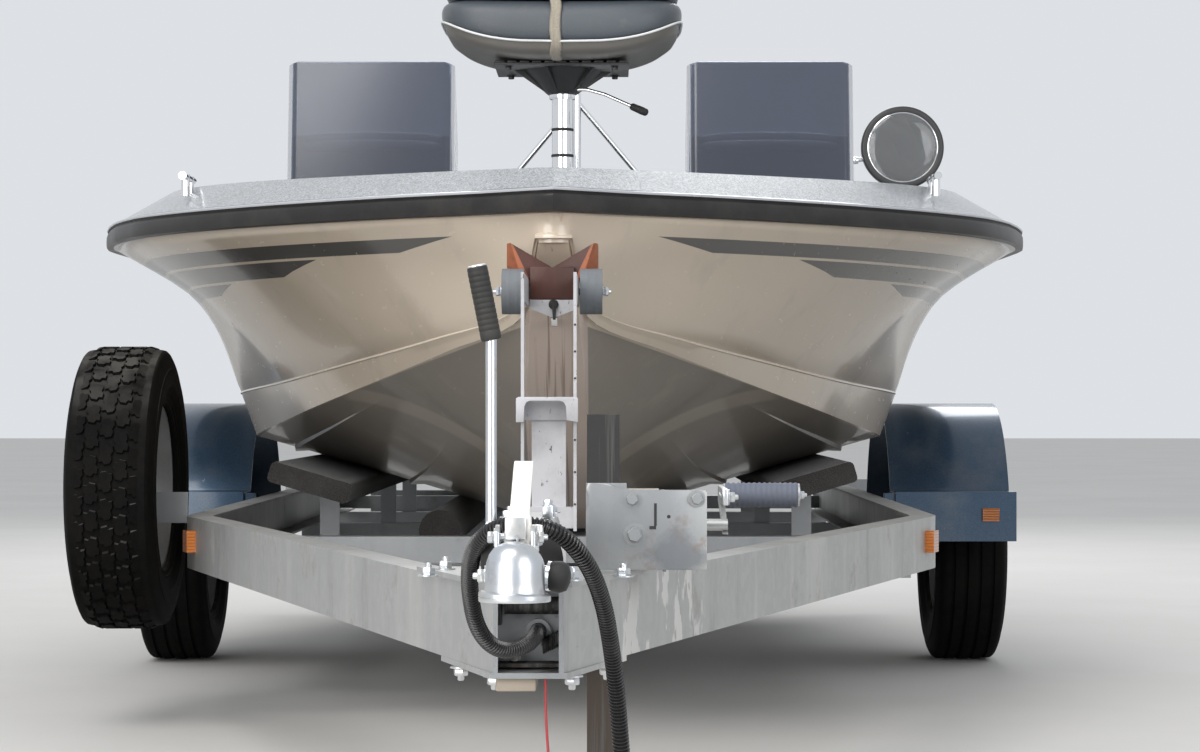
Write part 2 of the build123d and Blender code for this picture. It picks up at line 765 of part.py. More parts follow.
# Posts that carry the bunks on the crossbeams
post_width = 50
with crossbeams:
    for station, half in under_beams:
        for side in (-1, 1):
            with BuildSketch(Plane.XZ.offset(-trailer_y(station) + 4)):
                left, right = (under_hull(x, outer_bunk[1] + 2 * seat_gap) for x in (560, 610))
                with BuildLine():
                    Polyline(
                        (side * left[0], under_beam_top),
                        (side * right[0], under_beam_top),
                        (side * right[0], right[1]),
                        (side * left[0], left[1]),
                        close=True,
                    )
                make_face()
                with Locations((side * inner_centre[0], (under_beam_top + inner_centre[1]) / 2)):
                    Rectangle(post_width, inner_centre[1] - under_beam_top)
                with Locations((side * inner_centre[0], inner_centre[1])):
                    Circle(inner_bunk_radius + seat_gap, mode=Mode.SUBTRACT)
            extrude(amount=-8)
save(crossbeams, "crossbeams")

# Axle: a beam on pads under the rails, with trailing arms and stub axles
hub_z = tyre_radius
arm_length = 150
with BuildPart() as axle:
    with BuildSketch(Plane.YZ.offset(-beam_half)):
        with Locations((axle_y - arm_length, hub_z)):
            Rectangle(70, 70)
            Rectangle(58, 58, mode=Mode.SUBTRACT)
    extrude(amount=2 * beam_half)
    for side in (-1, 1):
        pad = sorted((side * (rail_half_width - 30), side * (rail_half_width + 30)))
        add(box(pad, (axle_y - arm_length - 60, axle_y - arm_length + 60), (hub_z + 35, rail_bottom)))
        with BuildSketch(Plane(origin=(side * beam_half, axle_y - arm_length / 2, hub_z), x_dir=(0, 1, 0),
                               z_dir=(side, 0, 0))):
            SlotCenterToCenter(arm_length, 80)
        extrude(amount=22)
        with BuildSketch(Plane(origin=(side * (beam_half + 22), axle_y, hub_z), x_dir=(0, 1, 0),
                               z_dir=(side, 0, 0))):
            Circle(18)
        extrude(amount=125)
save(axle, "axle")


def wheel_plane(x, y, z):
    """Plane through a wheel's axis: local X along the axis, local Y outward."""
    return Plane((x, y, z), x_dir=(1, 0, 0), z_dir=(0, -1, 0))


def tyre(x, y, z):
    """Tyre with three tread grooves, its axis along X."""
    section = wheel_plane(x, y, z)
    spin = Axis((x, y, z), (1, 0, 0))
    half = tyre_width / 2
    with BuildPart() as ring:
        with BuildSketch(section):
            with BuildLine():
                Line((0, tyre_radius), (70, tyre_radius - 2))
                ThreePointArc((70, tyre_radius - 2), (82, tyre_radius - 6), (90, tyre_radius - 16))
                ThreePointArc((90, tyre_radius - 16), (half, 258), (72, 207))
                Polyline((72, 207), (70, 206), (70, 192), (60, 192), (60, 206))
                ThreePointArc((60, 206), (90, 258), (78, 306))
                Line((78, 306), (0, 314))
                mirror(about=Plane.YZ)
            make_face()
        revolve(axis=spin)
        with BuildSketch(section):
            with Locations((-38, tyre_radius), (0, tyre_radius), (38, tyre_radius)):
                Rectangle(9, 16)
        revolve(axis=spin, mode=Mode.SUBTRACT)
    return ring


def rim(x, y, z, side, hub):
    """Steel rim with its disc, and a hub with a bore where it runs on an axle."""
    section = wheel_plane(x, y, z)
    spin = Axis((x, y, z), (1, 0, 0))
    pieces = [(-76, 76, 185, 191.7), (-76, -70.3, 185, 205), (70.3, 76, 185, 205), (-12, -5, 30, 186)]
    if hub:
        pieces += [(-112, -17, 18.3, 48), (-17, 26, 0, 33)]
    with BuildPart() as disc:
        with BuildSketch(section):
            for near, far, low, high in pieces:
                with Locations((side * (near + far) / 2, (low + high) / 2)):
                    Rectangle(far - near, high - low)
        revolve(axis=spin)
        with BuildSketch(Plane((x - side * 20, y, z), x_dir=(0, 1, 0), z_dir=(side, 0, 0))):
            with PolarLocations(140, 12):
                Circle(15)
        extrude(amount=20, mode=Mode.SUBTRACT)
        with BuildSketch(Plane((x - side * 8, y, z), x_dir=(0, 1, 0), z_dir=(side, 0, 0))):
            with PolarLocations(56, 5):
                RegularPolygon(10, 6)
        extrude(amount=20)
    return disc


# Road wheels and spare wheel
spare_centre = (-rail_half_width - 170, trailer_y(bend_station + 35), 557)
for name, (x, y, z), side, hub in (
    ("left", (-wheel_x, axle_y, hub_z), -1, True),
    ("right", (wheel_x, axle_y, hub_z), 1, True),
    ("spare", spare_centre, -1, False),
):
    save(tyre(x, y, z), f"tyre_{name}")
    save(rim(x, y, z, side, hub), f"rim_{name}")

# Flat bracket of the spare wheel, and the clamp of the parking leg, beside the nose plates
rail_outer = rail_half_width + channel_width / 2
jack_point = (104, trailer_y(580))
jack_size = 52
clamp_wall = 6
clamp_bottom = 400
with frame_brackets:
    # gland plate in the nose, with the collar of the lighting lead
    gland_point = (12, trailer_y(95), 425)
    gland_half = nose_half + 95 * tan(arm_angle) - 7.5
    add(box((-gland_half, gland_half), (gland_point[1], gland_point[1] + 6), (rail_bottom, rail_top)))
    with BuildSketch(Plane.XZ.offset(-gland_point[1])):
        with Locations((gland_point[0], gland_point[2])):
            Circle(conduit_diameter / 2 + 6)
            Circle(conduit_diameter / 2 + seat_gap, mode=Mode.SUBTRACT)
    extrude(amount=16)
    bracket_x = (spare_centre[0] + 12, -rail_outer - 0.2)
    add(box(bracket_x, (spare_centre[1] - 5, spare_centre[1] + 5), (474, 546)))
    clamp_half = jack_size / 2 + seat_gap + clamp_wall
    with BuildSketch(Plane.XY.offset(clamp_bottom)):
        with Locations(jack_point):
            Rectangle(2 * clamp_half, 2 * clamp_half)
            Rectangle(jack_size + 2 * seat_gap, jack_size + 2 * seat_gap, mode=Mode.SUBTRACT)
    extrude(amount=rail_top + gusset_wall - clamp_bottom)
    edge = jack_point[0] + clamp_half
    clamp_y = (jack_point[1] - 30, jack_point[1] + 30)
    add(box((edge - 1, edge + 55), clamp_y, (rail_top, rail_top + gusset_wall)))
save(frame_brackets, "frame_brackets")

# Fenders: a stepped front plate and an arch, open to the wheel
fender_wall = 4
fender_radius = 425
fender_gap = 30
fender_cover = 90
fender_inner_x = rail_outer + fender_gap
fender_outer_x = wheel_x + fender_cover
step_front = 560
step_top = 509
step_bottom = 372
with BuildPart() as fenders:
    for side in (-1, 1):
        near = fender_inner_x if side > 0 else -fender_outer_x
        with BuildSketch(Plane.YZ.offset(near)):
            with Locations((axle_y, hub_z)):
                Circle(fender_radius)
                Circle(fender_radius - fender_wall, mode=Mode.SUBTRACT)
            with Locations((axle_y, 0)):
                Rectangle(3 * fender_radius, 800, mode=Mode.SUBTRACT)
            with Locations((axle_y - fender_radius, (step_top - fender_wall) / 2)):
                Rectangle(2 * fender_radius, step_top - fender_wall, mode=Mode.SUBTRACT)
            with Locations((axle_y - (step_front + 383) / 2, step_top - fender_wall / 2)):
                Rectangle(step_front - 383, fender_wall)
            with Locations((axle_y - step_front + fender_wall / 2, (step_top + step_bottom) / 2)):
                Rectangle(fender_wall, step_top - step_bottom)
        extrude(amount=fender_outer_x - fender_inner_x)
        # lip along the outer edge, and brackets to the rail
        with BuildSketch(Plane.YZ.offset(side * fender_outer_x - 2)):
            with Locations((axle_y, hub_z)):
                Circle(fender_radius)
                Circle(fender_radius - 20, mode=Mode.SUBTRACT)
            with Locations((axle_y, 0)):
                Rectangle(3 * fender_radius, 800, mode=Mode.SUBTRACT)
            with Locations((axle_y - fender_radius, (step_top - fender_wall) / 2)):
                Rectangle(2 * fender_radius, step_top - fender_wall, mode=Mode.SUBTRACT)
        extrude(amount=4)
        front_arm = sorted((side * rail_outer, side * (fender_outer_x - 60)))
        add(box(front_arm, (axle_y - 545, axle_y - 505), (475, step_top - fender_wall)))
        back_arm = sorted((side * rail_outer, side * (fender_inner_x + 200)))
        add(box(back_arm, (axle_y + 385, axle_y + 409), (420, 460)))
save(fenders, "fenders")

# Coupling: housing on the gusset, sliding shaft with bellows, ball head with its handle
shaft_z = 545
plate_top = rail_top + gusset_wall
housing_height = 90
with BuildPart() as coupling_body:
    add(box((-40, 40), (trailer_y(-20), trailer_y(258)), (plate_top, plate_top + housing_height)))
    fillet(coupling_body.edges().filter_by(Axis.Y).group_by(Axis.Z)[-1], 18)
    with BuildSketch(Plane.XZ.offset(-trailer_y(-20))):
        with Locations((0, shaft_z)):
            Circle(34)
    extrude(amount=130)
    with BuildSketch(Plane.XZ.offset(-trailer_y(-150))):
        with Locations((0, shaft_z)):
            Circle(22)
    extrude(amount=340)
save(coupling_body, "coupling_body")

head_front = -640
socket_station = -595
socket_radius = 25
bell_profile = [
    (0, 512), (44, 512), (44, 519), (38, 526), (36, 540), (35, 556), (31, 569), (24, 578), (14, 584),
    (0, 586),
]
with BuildPart() as coupling_head:
    with BuildSketch(Plane.XZ.offset(-trailer_y(-490))):
        with Locations((0, shaft_z)):
            Circle(34)
            Circle(22, mode=Mode.SUBTRACT)
    extrude(amount=20)
    # neck from the shaft, then the bell over the ball with its lip
    with BuildSketch(Plane.XZ.offset(-trailer_y(-500))):
        with Locations((0, shaft_z)):
            Circle(30)
    extrude(amount=-500 - socket_station)
    with BuildSketch(Plane.XZ.offset(-trailer_y(socket_station))):
        with BuildLine():
            Polyline(*bell_profile, close=True)
        make_face()
    revolve(axis=Axis((0, trailer_y(socket_station), 0), (0, 0, 1)))
    # ears of the handle and the latch on top
    for x in (-18, 28):
        add(box((x, x + 6), (trailer_y(-580), trailer_y(-528)), (560, 600)))
    with BuildSketch(Plane.XY.offset(511)):
        with Locations((0, trailer_y(socket_station))):
            Circle(socket_radius)
    extrude(amount=49, mode=Mode.SUBTRACT)
    with BuildSketch(Plane.YZ.offset(-13)):
        with BuildLine():
            Polyline(
                (trailer_y(-575), 575),
                (trailer_y(-560), 575),
                (trailer_y(-535), 690),
                (trailer_y(-548), 694),
                close=True,
            )
        make_face()
    extrude(amount=26)
save(coupling_head, "coupling_head")

# Handbrake lever on the side of the housing
lever_pivot = (-54, trailer_y(40), 575)
with BuildPart() as handbrake:
    with BuildSketch(Plane.YZ.offset(lever_pivot[0] + 13.7)):
        with Locations((lever_pivot[1], lever_pivot[2])):
            Circle(12)
    extrude(amount=-21)
    with BuildSketch(Plane.XY.offset(lever_pivot[2])):
        with Locations((lever_pivot[0], lever_pivot[1])):
            Circle(8)
    extrude(amount=275)
    with BuildSketch(Plane((lever_pivot[0], lever_pivot[1], lever_pivot[2] + 270), z_dir=(-0.2, 0, 1))):
        Circle(14)
    extrude(amount=105)
save(handbrake, "handbrake_lever")

# Winch on the nose: frame, turning drum with its crank, and the strap wound on the drum
winch_station = 330
winch_z = 568
drum_radius = 44
strap_x = 165
strap_width = 50
winch_inner = strap_width / 2 + 4
winch_plate_station = 270
with BuildPart() as winch_frame:
    for side in (-1, 1):
        cheek = sorted((strap_x + side * winch_inner, strap_x + side * (winch_inner + 5)))
        add(box(cheek, (trailer_y(winch_plate_station), trailer_y(385)), (plate_top, 620)))
    # front plate with a stepped top edge
    with BuildSketch(Plane.XZ.offset(-trailer_y(winch_plate_station))):
        with BuildLine():
            Polyline(
                (79, plate_top + 3), (260, plate_top + 3), (260, 622), (140, 622), (140, 633), (79, 633),
                close=True,
            )
        make_face()
    extrude(amount=6)
    for side in (-1, 1):
        with BuildSketch(Plane.YZ.offset(strap_x + side * (winch_inner + 2.5) - 3)):
            with Locations((trailer_y(winch_station), winch_z)):
                Circle(9.3)
        extrude(amount=6, mode=Mode.SUBTRACT)
save(winch_frame, "winch_frame")

crank_x = 286
with BuildPart() as winch_drum:
    with BuildSketch(Plane.YZ.offset(strap_x - strap_width / 2)):
        with Locations((trailer_y(winch_station), winch_z)):
            Circle(drum_radius)
    extrude(amount=strap_width)
    with BuildSketch(Plane.YZ.offset(strap_x - strap_width / 2 - 14)):
        with Locations((trailer_y(winch_station), winch_z)):
            Circle(9)
    extrude(amount=crank_x + 8 - (strap_x - strap_width / 2 - 14))
    with BuildSketch(Plane.YZ.offset(crank_x)):
        with BuildLine():
            Polyline(
                (trailer_y(winch_station) - 14, winch_z - 14),
                (trailer_y(winch_station) + 14, winch_z - 14),
                (trailer_y(winch_station) + 190, winch_z + 30),
                (trailer_y(winch_station) + 190, winch_z + 54),
                close=True,
            )
        make_face()
    extrude(amount=8)
    with BuildSketch(Plane.YZ.offset(crank_x + 8)):
        with Locations((trailer_y(winch_station) + 178, winch_z + 40)):
            Circle(18)
    extrude(amount=120)
save(winch_drum, "winch_drum")

# wound strap, with its last lap and stitched end on top
strap_wall = 3
roll_inner = drum_radius + 0.2
roll_outer = roll_inner + 8
with BuildPart() as winch_strap:
    with BuildSketch(Plane.YZ.offset(strap_x - strap_width / 2)):
        with Locations((trailer_y(winch_station), winch_z)):
            Circle(roll_outer)
            Circle(roll_inner, mode=Mode.SUBTRACT)
    extrude(amount=strap_width)
    with BuildSketch(Plane.YZ.offset(strap_x - strap_width / 2 + 1)):
        with BuildLine():
            lap = CenterArc((trailer_y(winch_station), winch_z), roll_outer + strap_wall, 40, 110)
            lap_under = CenterArc((trailer_y(winch_station), winch_z), roll_outer - 1, 40, 110)
            Line(lap @ 0, lap_under @ 0)
            Line(lap @ 1, lap_under @ 1)
        make_face()
    extrude(amount=strap_width - 2)
save(winch_strap, "winch_strap")

# Winch post with its uprights, bow stop and bow rollers
post_top = 760
upright_x = 46
upright_wall = 6
upright_top = 998
with BuildPart() as winch_post:
    post_y = (trailer_y(post_station) - 25, trailer_y(post_station) + 25)
    add(box((-32, 32), post_y, (rail_bottom + channel_wall + beam_size, post_top)))
    for low, high in ((520, 560), (722, 759)):
        clamp_y = (trailer_y(post_station) - 33, trailer_y(post_station) - 15)
        add(box((-upright_x, upright_x), clamp_y, (low, high)))
stop_front = 1745
roller_z = 974
roller_station = 1690
with winch_post:
    for side in (-1, 1):
        bar = sorted((side * upright_x, side * (upright_x + upright_wall)))
        add(box(bar, (trailer_y(post_station) - 38, trailer_y(post_station) + 2), (515, upright_top)))
        add(box(bar, (trailer_y(post_station) - 38, trailer_y(stop_front)), (945, upright_top)))
    with BuildSketch(Plane.YZ.offset(-112)):
        with Locations((trailer_y(roller_station), roller_z)):
            Circle(7)
    extrude(amount=224)
save(winch_post, "winch_post")

with keel_rollers:
    for side in (-1, 1):
        with BuildSketch(Plane((side * 55, trailer_y(roller_station), roller_z), x_dir=(0, 1, 0),
                               z_dir=(side, 0, 0))):
            Circle(45)
            Circle(7.3, mode=Mode.SUBTRACT)
        extrude(amount=44)
save(keel_rollers, "rollers")

with BuildPart() as bow_stop:
    with BuildSketch(Plane.XZ.offset(-trailer_y(stop_front))):
        with BuildLine():
            Polyline(
                (-91, 1071),
                (-91, 1000),
                (-60, 958),
                (60, 958),
                (91, 1000),
                (91, 1071),
                (78, 1071),
                (0, 1027),
                (-78, 1071), close=True,
            )
        make_face()
    extrude(amount=-(boat_y(58) - trailer_y(stop_front)))
    # block between the uprights, with the rollers' pin through it
    block_half = upright_x - 2
    block_y = (trailer_y(roller_station - 15), trailer_y(stop_front + 1))
    add(box((-block_half, block_half), block_y, (958, 1019)))
    with BuildSketch(Plane.YZ.offset(-block_half)):
        with Locations((trailer_y(roller_station), roller_z)):
            Circle(7.3)
    extrude(amount=2 * block_half, mode=Mode.SUBTRACT)
save(bow_stop, "bow_stop")

# Parking leg behind the right arm, in its clamp
with BuildPart() as jack:
    with BuildSketch(Plane.XY):
        with Locations(jack_point):
            RectangleRounded(130, 130, 15)
    extrude(amount=8)
    with BuildSketch(Plane.XY):
        with Locations(jack_point):
            Rectangle(jack_size, jack_size)
    extrude(amount=735)
save(jack, "parking_leg")
# Side markers on the arms and the fenders, and the rear light bar
marker_station = 2650
with BuildPart() as markers:
    for side in (-1, 1):
        face = Plane(
            (side * (arm_x(marker_station) + channel_half_x), trailer_y(marker_station), 438),
            x_dir=(side * sin(arm_angle), cos(arm_angle), 0),
            z_dir=(side * cos(arm_angle), -sin(arm_angle), 0),
        )
        with BuildSketch(face):
            Rectangle(60, 50)
        extrude(amount=20)
        lamp_y = (axle_y - step_front - 12, axle_y - step_front)
        add(box(sorted((side * (fender_outer_x - 95), side * (fender_outer_x - 49))), lamp_y, (428, 464)))
save(markers, "side_markers")

bar_y = trailer_y(frame_end)
with BuildPart() as light_bar:
    add(box((-1090, 1090), (bar_y, bar_y + 40), (375, 421)))
    for side in (-1, 1):
        add(box(sorted((side * 850, side * 1070)), (bar_y + 40, bar_y + 46), (360, 480)))
    add(box((-760, -240), (bar_y + 40, bar_y + 44), (330, 440)))
save(light_bar, "light_bar")
with BuildPart() as tail_lamps:
    for side in (-1, 1):
        add(box(sorted((side * 856, side * 1064)), (bar_y + 46, bar_y + 86), (366, 474)))
    fillet(tail_lamps.faces().filter_by(Axis.Y).group_by(Axis.Y)[-1].edges(), 12)
save(tail_lamps, "tail_lamps")

# Outboard motor: bracket, swivel that tilts, leg and cowl that steer, propeller
tilt_point = (transom_y + 230, 1000)
steer_y = transom_y + 300
with BuildPart() as motor_bracket:
    add(box((-130, 130), (transom_y, transom_y + 14), (690, 960)))
    for side in (-1, 1):
        with BuildSketch(Plane.YZ.offset(side * 127 - 7)):
            with BuildLine():
                Polyline(
                    (transom_y + 14, 700),
                    (tilt_point[0] + 20, 880),
                    (tilt_point[0] + 28, tilt_point[1]),
                    (tilt_point[0], tilt_point[1] + 28),
                    (tilt_point[0] - 25, tilt_point[1] + 14),
                    (transom_y + 14, 955),
                    close=True,
                )
            make_face()
        extrude(amount=14)
    with BuildSketch(Plane.YZ.offset(-134)):
        with Locations(tilt_point):
            Circle(18)
    extrude(amount=268)
save(motor_bracket, "motor_bracket")

with BuildPart() as motor_swivel:
    with BuildSketch(Plane.YZ.offset(-110)):
        with Locations(tilt_point):
            Circle(34)
    extrude(amount=220)
    with BuildSketch(Plane.XY.offset(700)):
        with Locations((0, steer_y)):
            Circle(40)
    extrude(amount=338)
    with BuildSketch(Plane.YZ.offset(-34)):
        with BuildLine():
            Polyline(
                (tilt_point[0] - 30, 1010), (steer_y, 1030), (steer_y, 720), (steer_y - 20, 720),
                (tilt_point[0] - 30, 960), close=True,
            )
        make_face()
    extrude(amount=68)
    with BuildSketch(Plane.YZ.offset(-120)):
        with Locations(tilt_point):
            Circle(18.3)
    extrude(amount=240, mode=Mode.SUBTRACT)
    with BuildSketch(Plane.XY.offset(690)):
        with Locations((0, steer_y)):
            Circle(22.4)
    extrude(amount=400, mode=Mode.SUBTRACT)
save(motor_swivel, "motor_swivel")

prop_z = 310
prop_radius = 172
prop_y = transom_y + 640
vent_z = 505
leg_front = transom_y + 352
pan = [(90, tilt_point[0] + 6), (170, tilt_point[0] + 130), (175, transom_y + 540), (120, transom_y + 660)]
pan_middle = transom_y + 450


def rounded(outline, shrink):
    """Closed outline mirrored from one half, drawn in, with its corners cut twice."""
    across, along = 1 - shrink / 175, 1 - shrink / 215
    points = [(x * across, pan_middle + (y - pan_middle) * along) for x, y in outline]
    points += [(-x, y) for x, y in reversed(points)]
    for _ in range(2):
        cut = []
        for (x0, y0), (x1, y1) in zip(points, points[1:] + points[:1]):
            cut.append((0.75 * x0 + 0.25 * x1, 0.75 * y0 + 0.25 * y1))
            cut.append((0.25 * x0 + 0.75 * x1, 0.25 * y0 + 0.75 * y1))
        points = cut
    return points


with BuildPart() as motor_leg:
    with BuildSketch(Plane.XY.offset(690)):
        with Locations((0, steer_y)):
            Circle(22)
    extrude(amount=360)
    for low, high in ((660, 694), (1043, 1060)):
        add(box((-34, 34), (steer_y - 30, leg_front + 60), (low, high)))
    with BuildSketch(Plane.XY.offset(1050)):
        with Locations((0, leg_front + 90)):
            RectangleRounded(150, 180, 40)
    with BuildSketch(Plane.XY.offset(vent_z)):
        with Locations((0, leg_front + 90)):
            RectangleRounded(84, 180, 40)
    loft()
    with BuildSketch(Plane.XY.offset(vent_z)):
        with Locations((0, leg_front + 130)):
            RectangleRounded(200, 330, 80)
    extrude(amount=9)
    with BuildSketch(Plane.XY.offset(prop_z)):
        with Locations((0, leg_front + 95)):
            Ellipse(22, 100, rotation=0)
    extrude(amount=vent_z - prop_z)
    with BuildSketch(Plane.XZ.offset(-(leg_front - 40))):
        with Locations((0, prop_z)):
            Circle(14)
    with BuildSketch(Plane.XZ.offset(-(leg_front + 60))):
        with Locations((0, prop_z)):
            Circle(50)
    with BuildSketch(Plane.XZ.offset(-(prop_y - 45))):
        with Locations((0, prop_z)):
            Circle(46)
    loft()
    with BuildSketch(Plane.YZ.offset(-6)):
        with BuildLine():
            Polyline(
                (leg_front + 30, prop_z),
                (leg_front + 90, 122),
                (leg_front + 170, 122),
                (leg_front + 190, prop_z),
                close=True,
            )
        make_face()
    extrude(amount=12)
    # pan under the cowl, narrow at the front to clear the bracket
    with BuildSketch(Plane.XY.offset(1050)):
        with BuildLine():
            Polyline(*rounded(pan, 0), close=True)
        make_face()
    extrude(amount=30)
save(motor_leg, "motor_leg")

with BuildPart() as motor_cowl:
    cowl_rings = (
        (1080.3, 7), (1094, 0), (1260, -3), (1400, 1), (1480, 9), (1540, 22), (1582, 42),
        (1608, 68), (1621, 96),
        (1625, 118),
    )
    for z, shrink in cowl_rings:
        with BuildSketch(Plane.XY.offset(z)):
            with BuildLine():
                Polyline(*rounded(pan, shrink), close=True)
            make_face()
    loft(ruled=True)
save(motor_cowl, "motor_cowl")

with BuildPart() as propeller:
    with BuildSketch(Plane.XZ.offset(-(prop_y - 44.5))):
        with Locations((0, prop_z)):
            Circle(44)
    extrude(amount=-100)
    for blade in range(3):
        along = (cos(radians(120 * blade)), 0, sin(radians(120 * blade)))
        with BuildSketch(Plane((0, prop_y, prop_z), x_dir=along,
                               z_dir=(0, -1, 0))):
            with Locations((105, 0)):
                Ellipse(67, 52)
        extrude(amount=5, both=True)
save(propeller, "propeller")


def cord_tube(points, diameter, name):
    """Round tube along straight runs joined by tangent arcs."""
    runs = [(b - a).length for a, b in zip(points, points[1:])]
    radii = []
    for a, b, c in zip(points, points[1:], points[2:]):
        turn = radians((b - a).get_angle(c - b))
        radii.append(0.45 * min((b - a).length, (c - b).length) / tan(turn / 2))
    with BuildPart() as tube:
        with BuildLine() as route:
            FilletPolyline(*points, radius=radii)
        path = route.wires()[0]
        with BuildSketch(Plane(path.position_at(0), z_dir=path.tangent_at(0))):
            Circle(diameter / 2)
        sweep(path=path)
    ratio = tube.part.volume / (3.14159265 * diameter**2 / 4 * path.length)
    print(name, "radii", [round(r) for r in radii], "runs", [round(r) for r in runs])
    print(name, "length", round(path.length), "volume ratio", round(ratio, 4))
    save(tube, name)
    return path


conduit_points = [
    Vector(x, trailer_y(station), z)
    for x, station, z in (
        (12, 95, 425), (12, 30, 425), (-2, -30, 412), (-38, -82, 408), (-78, -128, 444), (-94, -190, 504),
        (-90, -254, 558), (-66, -316, 596), (-16, -356, 615), (44, -356, 608), (86, -312, 562),
        (106, -238, 492),
        (118, -160, 418), (126, -100, 340), (132, -62, 262), (136, -42, 190), (141, -42, 118), (152, -66, 56),
        (182, -116, 18), (228, -168, 12.4), (286, -212, 12.4),
    )
]
conduit_path = cord_tube(conduit_points, conduit_diameter, "conduit")
with BuildPart() as conduit_plug:
    end = conduit_path.position_at(1)
    along = conduit_path.tangent_at(1)
    with BuildSketch(Plane(end, z_dir=(along.X, along.Y, 0))):
        Circle(12.2)
    extrude(amount=65)
save(conduit_plug, "conduit_plug")

cable_diameter = 4
cable_points = [
    Vector(x, trailer_y(station), z)
    for x, station, z in (
        (24, 12, 364), (24, 12, 330), (26, -2, 288), (30, -14, 240), (33, -20, 190), (34, -24, 140),
        (33, -30, 92),
        (36, -42, 50), (50, -62, 18), (76, -84, 5), (110, -98, 2.4), (148, -100, 2.4), (184, -90, 2.4),
    )
]
cable_path = cord_tube(cable_points, cable_diameter, "breakaway_cable")
with BuildPart() as cable_clip:
    end = cable_path.position_at(1)
    along = cable_path.tangent_at(1)
    with BuildSketch(Plane(end, z_dir=(along.X, along.Y, 0))):
        Circle(2.3)
    extrude(amount=30)
save(cable_clip, "cable_clip")
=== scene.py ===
import bmesh
import bpy
from math import cos, exp, pi, radians, sin, tan
from mathutils import Matrix, Vector


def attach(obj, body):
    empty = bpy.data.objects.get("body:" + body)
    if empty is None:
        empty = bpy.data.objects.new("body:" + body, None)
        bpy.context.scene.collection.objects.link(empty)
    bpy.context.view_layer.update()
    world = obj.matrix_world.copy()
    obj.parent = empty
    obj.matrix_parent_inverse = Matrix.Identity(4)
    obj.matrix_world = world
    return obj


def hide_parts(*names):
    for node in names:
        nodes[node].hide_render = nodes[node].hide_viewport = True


# Looks of the fishing boat on its road trailer. Metres, floor at Z 0, bow towards -Y,
# port side +X. Stations along the boat are distances aft of the bow tip, those along
# the trailer distances aft of the front of its nose.
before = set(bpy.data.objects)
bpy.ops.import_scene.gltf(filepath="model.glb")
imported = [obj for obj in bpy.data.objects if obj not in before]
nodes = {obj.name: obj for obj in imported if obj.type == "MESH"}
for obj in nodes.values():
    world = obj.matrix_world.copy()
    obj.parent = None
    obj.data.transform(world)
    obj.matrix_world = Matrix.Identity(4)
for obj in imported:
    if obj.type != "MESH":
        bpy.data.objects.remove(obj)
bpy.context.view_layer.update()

BOW_Y = -1.620
NOSE_Y = -3.390
SHEER_Z = 1.138
KEEL_Z = 0.432
HULL_LENGTH = 4.950
CAMERA = (0.118, -7.620, 0.750)


def boat(x, station, z):
    return Vector((x, BOW_Y + station, z))


def trailer(x, station, z):
    return Vector((x, NOSE_Y + station, z))


def linked(name, data):
    """A new object with this data, in the scene."""
    made = bpy.data.objects.new(name, data)
    bpy.context.scene.collection.objects.link(made)
    return made


def add_node(tree, kind, sockets=None, **settings):
    """A new shader node; each socket takes a value or another node's output."""
    node = tree.nodes.new("ShaderNode" + kind)
    for key, value in settings.items():
        setattr(node, key, value)
    for key, value in (sockets or {}).items():
        if isinstance(value, bpy.types.NodeSocket):
            tree.links.new(value, node.inputs[key])
        else:
            node.inputs[key].default_value = value
    return node


